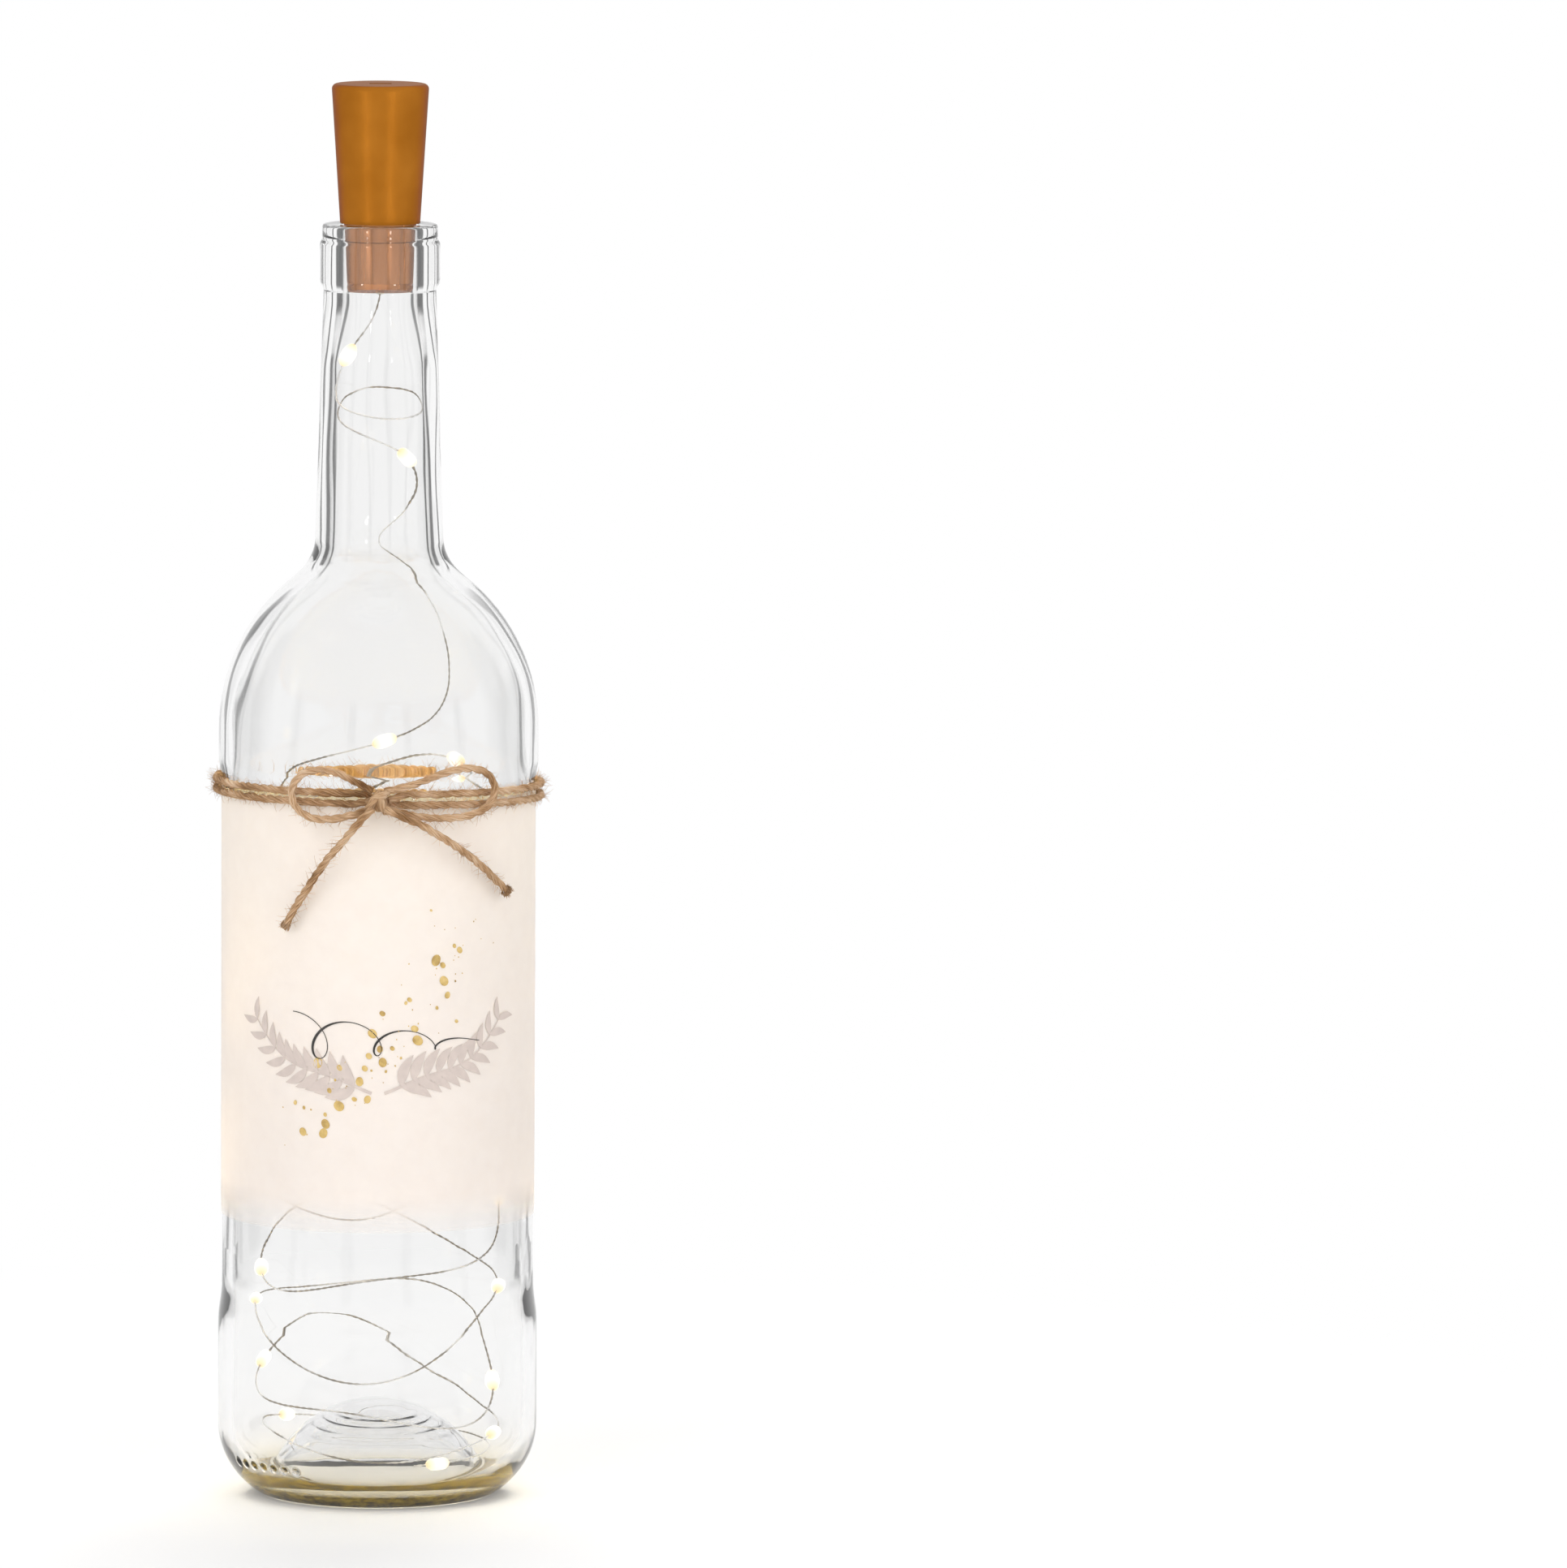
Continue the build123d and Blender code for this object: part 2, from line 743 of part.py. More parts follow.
slider_top = slide_top - slide_clearance
slider_bottom = slider_top - slider_height
with BuildPart() as switch_knob:
    with BuildSketch(Plane.XY.offset(slider_bottom)):
        with Locations((knob_rest, 0)):
            Rectangle(slider_length, switch_width - 2 * switch_wall - 2 * slide_clearance)
    extrude(amount=slider_height)
    with BuildSketch(Plane.XY.offset(slider_top)):
        with Locations((knob_rest, 0)):
            Rectangle(knob_length, knob_width)
    extrude(amount=cap_top - knob_recess - slider_top)
    fillet(switch_knob.edges().group_by(Axis.Z)[-1], slide_clearance)

with BuildPart() as switch_wiper:
    with BuildSketch(Plane.XY.offset(slider_bottom - wiper_thickness)):
        with Locations((knob_rest, 0)):
            Rectangle(slider_length, terminal_width)
    extrude(amount=wiper_thickness)

with BuildPart() as switch_terminals:
    with BuildSketch(Plane.XY.offset(terminal_end)):
        with GridLocations(terminal_pitch, 0, 3, 1):
            Rectangle(terminal_width, terminal_thickness)
    extrude(amount=slider_bottom - wiper_thickness - slide_clearance - terminal_end)

# Wiring: jumper, resistor, leads and the seal that the light wire leaves through
with BuildPart() as jumper_wire:
    with BuildSketch(Plane.XY.offset(roof_top + tab_reach)):
        with Locations((-terminal_pitch, 0)):
            Circle(lead_radius)
    extrude(amount=terminal_end - roof_top - tab_reach)

lead_level = roof_top + lead_slot_width
resistor_bottom = lead_level + lead_slot_width
resistor_middle = (resistor_bottom + terminal_end) / 2
with BuildPart() as resistor:
    with BuildSketch(Plane.XZ):
        with BuildLine():
            Polyline(
                (0, resistor_bottom),
                (lead_radius, resistor_bottom),
                (lead_radius, resistor_middle - resistor_length / 2),
                (resistor_radius, resistor_middle - resistor_length / 2),
                (resistor_radius, resistor_middle - resistor_length / 2 + resistor_cap_length),
                (resistor_waist, resistor_middle - resistor_length / 2 + resistor_cap_length),
                (resistor_waist, resistor_middle + resistor_length / 2 - resistor_cap_length),
                (resistor_radius, resistor_middle + resistor_length / 2 - resistor_cap_length),
                (resistor_radius, resistor_middle + resistor_length / 2),
                (lead_radius, resistor_middle + resistor_length / 2),
                (lead_radius, terminal_end),
                (0, terminal_end),
                close=True,
            )
        make_face()
    revolve(axis=Axis.Z)

groove_line = carrier_radius - lead_slot_depth / 2
lead_low = groove_bottom + lead_slot_width
positive_lead_route = cord_route(
    "lead_positive",
    [
        Vector(lead_spread, 0, seal_top),
        Vector(lead_spread, 0, lead_low),
        Vector(0, groove_line - lead_bend, lead_low),
        Vector(0, groove_line, lead_low + lead_bend),
        Vector(0, groove_line, lead_level - lead_bend),
        Vector(0, groove_line - lead_bend, lead_level),
        Vector(0, 0, lead_level),
        Vector(0, 0, resistor_bottom),
    ],
)
with BuildPart() as lead_positive:
    with BuildSketch(end_plane(positive_lead_route)):
        Circle(lead_radius)
    sweep(path=positive_lead_route)

negative_tab = -spring_base_radius + tab_width / 2
negative_tab_end = bay_bottom - bay_floor - tab_reach
lead_step = (negative_tab_end - seal_top) / 3
negative_lead_route = cord_route(
    "lead_negative",
    [
        Vector(-lead_spread, 0, seal_top),
        Vector(-lead_spread, 0, seal_top + lead_step),
        Vector(negative_tab, 0, negative_tab_end - lead_step),
        Vector(negative_tab, 0, negative_tab_end),
    ],
)
with BuildPart() as lead_negative:
    with BuildSketch(end_plane(negative_lead_route)):
        Circle(lead_radius)
    sweep(path=negative_lead_route)

with BuildPart() as wire_seal:
    with BuildSketch(Plane.XZ):
        with BuildLine():
            Polyline(
                (0, seal_end),
                (seal_nub_radius, seal_end),
                (seal_hole_radius, plug_end),
                (seal_hole_radius, plug_end + plug_wall),
                (seal_flange_radius, plug_end + plug_wall),
                (seal_flange_radius, seal_top),
                (0, seal_top),
                close=True,
            )
        make_face()
    revolve(axis=Axis.Z)

# Light wire in the neck: hung from the seal, once round the neck, then down over the shoulder
neck_places = [Vector(*place) + Vector(0, 0, seal_end) for place in neck_route_points]
neck_route = cord_route("light_wire_neck", neck_places)
with BuildPart() as light_wire_neck:
    with BuildSketch(end_plane(neck_route)):
        Circle(light_wire_radius)
    sweep(path=neck_route)

# Light wire in the body: loose turns that widen to the wall and settle on the floor
coil_start = neck_places[-1]
coil_start_angle = atan2(coil_start.X, -coil_start.Y)
coil_start_radius = sqrt(coil_start.X**2 + coil_start.Y**2)


def coil_point(turn):
    """Point of the loose turns: widening at first, tilted and swaying, drawn in over the foot."""
    angle = coil_start_angle - 2 * pi * turn
    left = max(1 - turn / coil_turns, 0.0)
    loose = ease(min(turn, (coil_turns - turn) / 2))
    widening = (coil_radius - coil_start_radius) * (1 - exp(-turn / coil_growth))
    drawn_in = ease((turn - coil_turns) / coil_foot_turns + 1)
    foot = (coil_foot_radius - coil_radius) * drawn_in
    sway = coil_sway * sin(2 * pi * coil_sway_rate * turn)
    shake = coil_shake * sin(2 * pi * coil_shake_rate * turn)
    radius = coil_start_radius + widening + foot + loose * (sway + shake)
    tilt = coil_tilt * sin(2 * pi * coil_tilt_rate * turn + coil_tilt_phase)
    ripple = coil_ripple * sin(2 * pi * coil_ripple_rate * turn + coil_ripple_phase)
    fall = (coil_start.Z - coil_foot_height) * left**coil_settle
    height = coil_foot_height + fall - loose * (tilt + ripple)
    return Vector(radius * sin(angle), -radius * cos(angle), height)


coil_steps = round(8 * coil_turns)
coil_stations = [coil_turns * step / coil_steps for step in range(coil_steps + 1)]
coil_places = winding_places(coil_point, coil_stations)
coil_places[0] = (coil_start, neck_route % 1)
coil_route = winding_route(coil_places)
least_gap("light_wire_body", coil_point, 0, coil_turns, light_wire_radius)
with BuildPart() as light_wire_body:
    with BuildSketch(end_plane(coil_route)):
        Circle(light_wire_radius)
    sweep(path=coil_route)
print(f"light wire length: {neck_route.length:.1f} + {coil_route.length:.1f} mm")

# Lamps: clear drops with a chip in each, evenly spaced along the wire
lamp_distances = [first_lamp + lamp * lamp_spacing for lamp in range(lamp_count)]
neck_lamps = [
    neck_route.location_at(distance, PositionMode.LENGTH)
    for distance in lamp_distances
    if distance < neck_route.length - lamp_length
]
body_lamps = [
    coil_route.location_at(distance - neck_route.length, PositionMode.LENGTH)
    for distance in lamp_distances
    if lamp_length < distance - neck_route.length < coil_route.length - lamp_length / 2
]
with BuildPart() as lamp_drops_neck:
    with Locations(*neck_lamps):
        Cylinder(lamp_radius, lamp_length)
    fillet(lamp_drops_neck.edges().filter_by(GeomType.CIRCLE), lamp_fillet)

with BuildPart() as lamp_drops_body:
    with Locations(*body_lamps):
        Cylinder(lamp_radius, lamp_length)
    fillet(lamp_drops_body.edges().filter_by(GeomType.CIRCLE), lamp_fillet)

with BuildPart() as lamp_chips_neck:
    with Locations(*neck_lamps):
        Box(chip_width, chip_thickness, chip_length)

with BuildPart() as lamp_chips_body:
    with Locations(*body_lamps):
        Box(chip_width, chip_thickness, chip_length)
print("lamps:", len(neck_lamps), "+", len(body_lamps))

pieces = {
    "bottle": bottle,
    "label_film": label_film,
    "twine_wrap": twine_wrap,
    "twine_knot": twine_knot,
    "bow_loop_left": bow_loop_left,
    "bow_loop_right": bow_loop_right,
    "bow_tail_left": bow_tail_left,
    "bow_tail_right": bow_tail_right,
    "stopper_sleeve": stopper_sleeve,
    "battery_carrier": battery_carrier,
    "cell_cans": cell_cans,
    "cell_caps": cell_caps,
    "cell_gaskets": cell_gaskets,
    "negative_plate": negative_plate,
    "positive_plate": positive_plate,
    "battery_spring": battery_spring,
    "switch_housing": switch_housing,
    "switch_knob": switch_knob,
    "switch_wiper": switch_wiper,
    "switch_terminals": switch_terminals,
    "jumper_wire": jumper_wire,
    "resistor": resistor,
    "lead_positive": lead_positive,
    "lead_negative": lead_negative,
    "wire_seal": wire_seal,
    "light_wire_neck": light_wire_neck,
    "light_wire_body": light_wire_body,
    "lamp_drops_neck": lamp_drops_neck,
    "lamp_drops_body": lamp_drops_body,
    "lamp_chips_neck": lamp_chips_neck,
    "lamp_chips_body": lamp_chips_body,
}
os.makedirs("parts", exist_ok=True)
for name, piece in pieces.items():
    piece.part.label = name
    export_step(piece.part, f"parts/{name}.step")
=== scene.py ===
"""Cork bottle light: clear bottle, film label, twine bow, and a string of lit lamps hung from its stopper.

Metres, +Z up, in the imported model's frame. The bow is at the front, towards -Y.
"""

import bpy
import random
from math import atan2, ceil, cos, degrees, exp, hypot, pi, radians, sin, sqrt
from mathutils import Matrix, Vector, noise


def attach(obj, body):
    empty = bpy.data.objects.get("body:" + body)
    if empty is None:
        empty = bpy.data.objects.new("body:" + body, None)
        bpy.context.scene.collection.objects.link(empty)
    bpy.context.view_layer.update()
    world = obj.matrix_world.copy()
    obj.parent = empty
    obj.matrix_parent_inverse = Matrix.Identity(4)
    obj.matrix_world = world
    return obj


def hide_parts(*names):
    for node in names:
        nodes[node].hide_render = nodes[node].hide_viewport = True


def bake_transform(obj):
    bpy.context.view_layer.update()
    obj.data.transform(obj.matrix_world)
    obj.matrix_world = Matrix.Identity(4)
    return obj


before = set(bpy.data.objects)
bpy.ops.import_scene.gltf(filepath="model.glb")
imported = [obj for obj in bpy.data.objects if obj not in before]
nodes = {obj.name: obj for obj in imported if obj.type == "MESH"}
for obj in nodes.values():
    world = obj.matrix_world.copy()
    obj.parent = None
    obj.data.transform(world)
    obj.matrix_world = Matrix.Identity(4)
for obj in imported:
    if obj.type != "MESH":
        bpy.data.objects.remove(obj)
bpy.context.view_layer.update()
MM = 0.001

# sizes of the model, in millimetres
CONTACT_RADIUS, PANEL_RADIUS = 37.65, 36.7
PANEL_BOTTOM, PANEL_TOP, PANEL_RAMP = 44.0, 170.0, 2.5
PUNT_CENTRE, PUNT_RADIUS = (0, -8.36), 26.36
INNER_PUNT_CENTRE, INNER_PUNT_RADIUS = (0, -4.607), 26.607
HEEL_CENTRE, HEEL_RADIUS, HEEL_LAYER_RADIUS = (18.55, 16.6), 19.1, 18.8
INNER_HEEL_CENTRE, INNER_HEEL_RADIUS = (21.015, 16.6), 13.285
SHOULDER_CENTRE, SHOULDER_RADIUS, INNER_SHOULDER_RADIUS = (-8.35, 181.0), 46.0, 42.65
RING_FOOT, RING_BOTTOM, RING_TOP, RING_RADIUS = (13.2, 284.7), 286.1, 296.0, 14.1
LIP_RADIUS, BOTTLE_HEIGHT = 13.55, 300.0
BORE_RADIUS, BORE_BOTTOM, THROAT = 8.9, 281.0, (11.1, 268.0)
FILM_RADIUS, PRINT_RADIUS = 36.95, 37.09
FILM_BOTTOM, FILM_TOP, FILM_SEAM = 66.5, 167.6, 1.5
TWINE_RADIUS, TWINE_HEIGHT = 0.95, 168.7
TURN_RADIUS, KNOT_STANDOFF = 38.2, 4.15
SEAL_END, STRETCH_START = 284.85, 271.0
SEAM, SEAM_RADIUS, CAP_RIM = 295.65, 8.24, 300.25
LAMP_HALF_LENGTH, LAMP_RADIUS = 3.0, 1.55
CHIP_HALF_LENGTH, CHIP_RADIUS, CHIP_END_RADIUS = 0.85, 0.62, 0.5
DOT_HEIGHT, DOT_RISE, DOT_RADIUS, DOT_EDGE = 9.0, 0.4, 1.35, 0.9
DOT_TURNS = [radians(222 + 5.4 * k) for k in range(-3, 4)]


def add_object(name, data):
    made = bpy.data.objects.new(name, data)
    bpy.context.scene.collection.objects.link(made)
    return made


# camera
def make_camera():
    """Camera of the photograph: a long lens from the front, a little above the stopper."""
    data = bpy.data.cameras.new("camera")
    data.sensor_fit = "HORIZONTAL"
    data.sensor_width = 36.0
    data.lens = 334.13
    yaw, pitch, roll = radians(1.605), radians(6.669), radians(0.328)
    ahead = Vector((sin(yaw) * cos(pitch), cos(yaw) * cos(pitch), -sin(pitch)))
    level = Vector((cos(yaw), -sin(yaw), 0))
    over = level.cross(ahead)
    right = level * cos(roll) + over * sin(roll)
    up = over * cos(roll) - level * sin(roll)
    camera = add_object("camera", data)
    turn = Matrix((right, up, -ahead)).transposed().to_4x4()
    camera.matrix_world = Matrix.Translation((0, -3.4, 0.5658)) @ turn
    bpy.context.scene.camera = camera


make_camera()


# lines and meshes
def ease(share):
    """Smooth step from 0 to 1."""
    share = min(max(share, 0.0), 1.0)
    return share * share * (3 - 2 * share)


def shares(steps):
    """Even steps from 0 to 1."""
    return [i / steps for i in range(steps + 1)]


def spline_points(points):
    """Points of the smooth line that a route's points steer, in metres."""
    curve = bpy.data.curves.new("route", "CURVE")
    curve.dimensions = "3D"
    curve.resolution_u = 8
    spline = curve.splines.new("NURBS")
    spline.points.add(len(points) - 1)
    for control, place in zip(spline.points, points):
        control.co = (*(Vector(place) * MM), 1.0)
    spline.order_u = 3
    spline.use_endpoint_u = True
    holder = add_object("route", curve)
    mesh = bpy.data.meshes.new_from_object(holder)
    line = [vertex.co.copy() for vertex in mesh.vertices]
    bpy.data.objects.remove(holder)
    bpy.data.curves.remove(curve)
    bpy.data.meshes.remove(mesh)
    return line


def line_length(line):
    """Length along a line of points."""
    return sum((b - a).length for a, b in zip(line, line[1:]))


def evenly(line, step):
    """Points at even steps along a line."""
    reached = [0.0]
    for a, b in zip(line, line[1:]):
        reached.append(reached[-1] + (b - a).length)
    count = max(2, round(reached[-1] / step))
    points, run = [], 0
    for i in range(count + 1):
        goal = reached[-1] * i / count
        while run < len(line) - 2 and reached[run + 1] < goal:
            run += 1
        span = reached[run + 1] - reached[run]
        points.append(line[run].lerp(line[run + 1], (goal - reached[run]) / span if span else 0.0))
    return points


def frames_along(line):
    """Tangent and two sides at each point, turning as little as the line allows."""
    side = None
    found = []
    for i in range(len(line)):
        along = (line[min(i + 1, len(line) - 1)] - line[max(i - 1, 0)]).normalized()
        if side is None:
            side = along.orthogonal()
        side = (side - along * side.dot(along)).normalized()
        found.append((along, side, along.cross(side)))
    return found


class Sheet:
    """Vertices, faces and surface coordinates of one piece while it is made."""

    def __init__(self):
        self.places, self.faces, self.grain, self.kinds = [], [], [], []

    def add(self, place, grain=(0.0, 0.0, 0.0)):
        self.places.append(place)
        self.grain.append(grain)
        return len(self.places) - 1

    def face(self, *corners, kind=0):
        self.faces.append(corners)
        self.kinds.append(kind)

    def skin(self, rows, kind=0, closed=False):
        """Faces between rows of points, each joined round to its start if it is closed."""
        for first, last in zip(rows, rows[1:]):
            for k in range(len(first) if closed else len(first) - 1):
                m = (k + 1) % len(first)
                self.face(first[k], first[m], last[m], last[k], kind=kind)

    def tube(self, line, radii, sides, shift=0.0, kind=0, capped=True):
        """A tube along a line, with its radius given at each point."""
        rings, run = [], 0.0
        for i, (place, (_, side, cross)) in enumerate(zip(line, frames_along(line))):
            if i:
                run += (place - line[i - 1]).length
            ring = []
            for k in range(sides):
                turn = 2 * pi * k / sides
                off = side * cos(turn) + cross * sin(turn)
                ring.append(self.add(place + off * radii[i], (run + shift, cos(turn), sin(turn))))
            rings.append(ring)
        self.skin(rings, kind, closed=True)
        if capped:
            self.face(*reversed(rings[0]), kind=kind)
            self.face(*rings[-1], kind=kind)

    def object(self, name, *materials):
        mesh = bpy.data.meshes.new(name)
        mesh.from_pydata([tuple(place) for place in self.places], [], self.faces)
        mesh.polygons.foreach_set("use_smooth", [True] * len(mesh.polygons))
        for made in materials:
            mesh.materials.append(made)
        mesh.polygons.foreach_set("material_index", self.kinds)
        grain = mesh.attributes.new("grain", "FLOAT_VECTOR", "POINT")
        grain.data.foreach_set("vector", [value for lie in self.grain for value in lie])
        mesh.update()
        return add_object(name, mesh)


# materials
WHITE = (1.0, 1.0, 1.0, 1.0)
JUTE_SHADES = (
    (0.4, (0.13, 0.06, 0.022)), (0.48, (0.38, 0.215, 0.1)), (0.56, (0.62, 0.405, 0.235)),
    (0.66, (0.88, 0.7, 0.5)),
)


def material(name):
    """A new material, with its tree, main shader and output."""
    made = bpy.data.materials.new(name)
    made.use_nodes = True
    tree = made.node_tree
    return made, tree, tree.nodes["Principled BSDF"], tree.nodes["Material Output"]


def put(tree, kind, inputs=None, **settings):
    """A shader node with its settings; an input that is a socket is linked."""
    made = tree.nodes.new(kind)
    for key, value in settings.items():
        setattr(made, key, value)
    for key, value in (inputs or {}).items():
        join(tree, value, made.inputs[key])
    return made


def join(tree, value, socket):
    """Links an input to a socket, or sets it to a value."""
    if isinstance(value, bpy.types.NodeSocket):
        tree.links.new(value, socket)
    else:
        socket.default_value = value


def finish_with(tree, shader, **inputs):
    """Sets a shader's inputs, named with _ in place of a space."""
    for key, value in inputs.items():
        join(tree, value, shader.inputs[key.replace("_", " ")])


def calc(tree, operation, *values):
    return put(tree, "ShaderNodeMath", dict(enumerate(values)), operation=operation).outputs[0]


def remap(tree, value, first=0.0, last=1.0, low=0.0, high=1.0, smooth=False):
    """A value taken from the range first to last into the range low to high."""
    return put(
        tree, "ShaderNodeMapRange",
        {"Value": value, "From Min": first, "From Max": last, "To Min": low, "To Max": high},
        interpolation_type="SMOOTHSTEP" if smooth else "LINEAR",
    ).outputs["Result"]


def ramp(tree, factor, *stops):
    made = put(tree, "ShaderNodeValToRGB", {"Fac": factor})
    elements = made.color_ramp.elements
    while len(elements) < len(stops):
        elements.new(0.5)
    for element, (place, colour) in zip(elements, stops):
        element.position = place
        element.color = (*colour, 1.0)
    return made.outputs["Color"]


def object_place(tree):
    return put(tree, "ShaderNodeTexCoord").outputs["Object"]


def grain_place(tree):
    """Place on a piece's own surface, as its mesh was given it."""
    return put(tree, "ShaderNodeAttribute", attribute_name="grain").outputs["Vector"]


def axes_of(tree, vector):
    return put(tree, "ShaderNodeSeparateXYZ", {"Vector": vector}).outputs


def length_of(tree, vector):
    return put(tree, "ShaderNodeVectorMath", {0: vector}, operation="LENGTH").outputs["Value"]


def noise_at(tree, place, stretch, scale, detail, rough):
    scaled = put(tree, "ShaderNodeMapping", {"Vector": place, "Scale": stretch}).outputs["Vector"]
    inputs = {"Vector": scaled, "Scale": scale, "Detail": detail, "Roughness": rough}
    return put(tree, "ShaderNodeTexNoise", inputs).outputs["Fac"]


def grain_noise(tree, stretch, detail, rough):
    """Noise that runs along a tube's own length."""
    return noise_at(tree, grain_place(tree), stretch, 1.0, detail, rough)


def object_noise(tree, scale, detail=3.0, stretch=(1.0, 1.0, 1.0)):
    """Noise in the object's own space, in cycles for each metre."""
    return noise_at(tree, object_place(tree), stretch, scale, detail, 0.5)


def bump(tree, height, distance, strength=1.0):
    return put(
        tree, "ShaderNodeBump", {"Height": height, "Distance": distance, "Strength": strength}
    ).outputs["Normal"]


def mix_shaders(tree, share, first, last):
    return put(tree, "ShaderNodeMixShader", {0: share, 1: first, 2: last}).outputs[0]


def transparent(tree, colour=WHITE):
    return put(tree, "ShaderNodeBsdfTransparent", {"Color": colour}).outputs[0]


def backlit(tree, shader, share, colour):
    """The shader with a share of light that comes through from behind."""
    through = put(tree, "ShaderNodeBsdfTranslucent", {"Color": colour}).outputs[0]
    return mix_shaders(tree, share, shader.outputs[0], through)


def show(tree, output, surface):
    tree.links.new(surface, output.inputs["Surface"])


def show_without_shadow(tree, output, shader, colour=WHITE):
    """The shader, with shadow rays let through."""
    shade = put(tree, "ShaderNodeLightPath").outputs["Is Shadow Ray"]
    show(tree, output, mix_shaders(tree, shade, shader.outputs[0], transparent(tree, colour)))


def glass_material():
    """Clear bottle glass, warmer in the thick heel, that lets the lamps shine through."""
    made, tree, shader, output = material("clear_glass")
    axes = axes_of(tree, object_place(tree))
    flat = put(tree, "ShaderNodeCombineXYZ", {"X": axes["X"], "Y": axes["Y"]}).outputs[0]
    outer = remap(tree, length_of(tree, flat), 0.0225, 0.0265, smooth=True)
    low = remap(tree, axes["Z"], last=0.016, low=1.0, high=0.0)
    clearness = calc(tree, "SUBTRACT", 1.0, calc(tree, "MULTIPLY", low, outer))
    colour = ramp(
        tree, clearness, (0.0, (0.9, 0.84, 0.66)), (0.3, (0.94, 0.918, 0.85)),
        (0.7, (0.947, 0.942, 0.93)), (1.0, (0.945, 0.945, 0.944)),
    )
    ripple = object_noise(tree, 55.0, 2.0, (1.0, 1.0, 0.35))
    finish_with(
        tree, shader, Base_Color=colour, Roughness=0.0, IOR=1.5,
        Transmission_Weight=1.0, Normal=bump(tree, ripple, 0.0002),
    )
    show_without_shadow(tree, output, shader, (0.95, 0.955, 0.945, 1.0))
    return made


def heel_painted_glow_material():
    """Painted glow of the lamps' light in the thick heel: olive-gold streaks, with painted shade dark at the
    foot, fading out upwards.
    """
    made, tree, shader, output = material("heel_painted_glow")
    up = axes_of(tree, grain_place(tree))["X"]
    streaks = grain_noise(tree, (5.0, 3.0, 3.0), 3.0, 0.6)
    # Painted glow: gold streaks, with painted shade where they are dark at the foot.
    colour = ramp(
        tree, calc(tree, "MULTIPLY_ADD", up, 0.3, calc(tree, "SUBTRACT", streaks, 0.1)),
        (0.32, (0.03, 0.021, 0.002)), (0.44, (0.15, 0.1, 0.004)), (0.58, (0.33, 0.232, 0.012)),
        (0.74, (0.54, 0.39, 0.045)),
    )
    finish_with(tree, shader, Base_Color=colour, Roughness=0.4)
    fade = remap(tree, up, 1.0, 0.6, smooth=True)
    uneven = calc(tree, "MULTIPLY_ADD", remap(tree, streaks, 0.3, 0.6), 0.12, 0.88)
    cover = calc(tree, "MULTIPLY", fade, uneven)
    show(tree, output, mix_shaders(tree, cover, transparent(tree), shader.outputs[0]))
    return made


def film_material():
    """Matt white film that glows where a lamp lies behind it and thins out at its lower edge."""
    made, tree, shader, output = material("label_film")
    mottle = object_noise(tree, 260.0)
    finish_with(
        tree, shader,
        Base_Color=ramp(tree, mottle, (0.3, (0.8, 0.733, 0.692)), (0.7, (0.824, 0.762, 0.723))),
        Roughness=remap(tree, mottle, low=0.42, high=0.58), Specular_IOR_Level=0.3,
        Normal=bump(tree, object_noise(tree, 900.0, 2.0), 0.00003),
    )
    sheet = backlit(tree, shader, 0.16, (0.84, 0.78, 0.73, 1.0))
    height = axes_of(tree, object_place(tree))["Z"]
    cover = remap(tree, height, FILM_BOTTOM * MM, 0.076, 0.3, smooth=True)
    show(tree, output, mix_shaders(tree, cover, transparent(tree), sheet))
    return made


def jute_material(name, light=1.0):
    """Jute: pale and dark fibres that run along each ply and let a little light through."""
    made, tree, shader, output = material(name)
    fibres = grain_noise(tree, (260.0, 3.4, 3.4), 4.0, 0.62)
    patches = object_noise(tree, 120.0, 2.0)
    both = calc(tree, "MULTIPLY_ADD", patches, 0.45, calc(tree, "MULTIPLY", fibres, 0.62))
    stops = [(place, [part * light for part in shade]) for place, shade in JUTE_SHADES]
    finish_with(
        tree, shader, Base_Color=ramp(tree, both, *stops), Roughness=0.86, Specular_IOR_Level=0.2,
        Sheen_Weight=0.25, Sheen_Tint=(1.0, 0.86, 0.66, 1.0), Normal=bump(tree, fibres, 0.00022, 0.8),
    )
    show(tree, output, backlit(tree, shader, 0.22, (0.9, 0.55, 0.19, 1.0)))
    return made


def stopper_material():
    """Satin copper-brown moulding with faint draw lines, glossier below the cap's rim, where its lighter,
    pinker colour is a painted highlight.
    """
    made, tree, shader, _ = material("copper_plastic")
    draw = object_noise(tree, 900.0, 3.0, (1.0, 1.0, 0.03))
    cloud = object_noise(tree, 90.0, 2.0)
    height = axes_of(tree, object_place(tree))["Z"]
    below = remap(tree, height, (CAP_RIM + 0.1) * MM, (CAP_RIM - 0.1) * MM)
    cap = ramp(tree, cloud, (0.3, (0.34, 0.117, 0.01)), (0.7, (0.415, 0.151, 0.016)))
    # Below the cap's rim: a lighter, pinker colour that is a painted highlight.
    plug_painted_highlight = ramp(tree, cloud, (0.3, (0.44, 0.19, 0.075)), (0.7, (0.51, 0.23, 0.1)))
    colour = put(tree, "ShaderNodeMix", {0: below, 6: cap, 7: plug_painted_highlight}, data_type="RGBA").outputs[2]
    grained = remap(tree, draw, low=0.31, high=0.41)
    finish_with(
        tree, shader, Base_Color=colour, Metallic=0.65,
        Roughness=calc(tree, "MULTIPLY_ADD", below, -0.1, grained),
        Specular_IOR_Level=0.2, Specular_Tint=(0.2, 0.12, 0.06, 1.0),
        Normal=bump(tree, draw, 0.00004, 0.5),
    )
    return made


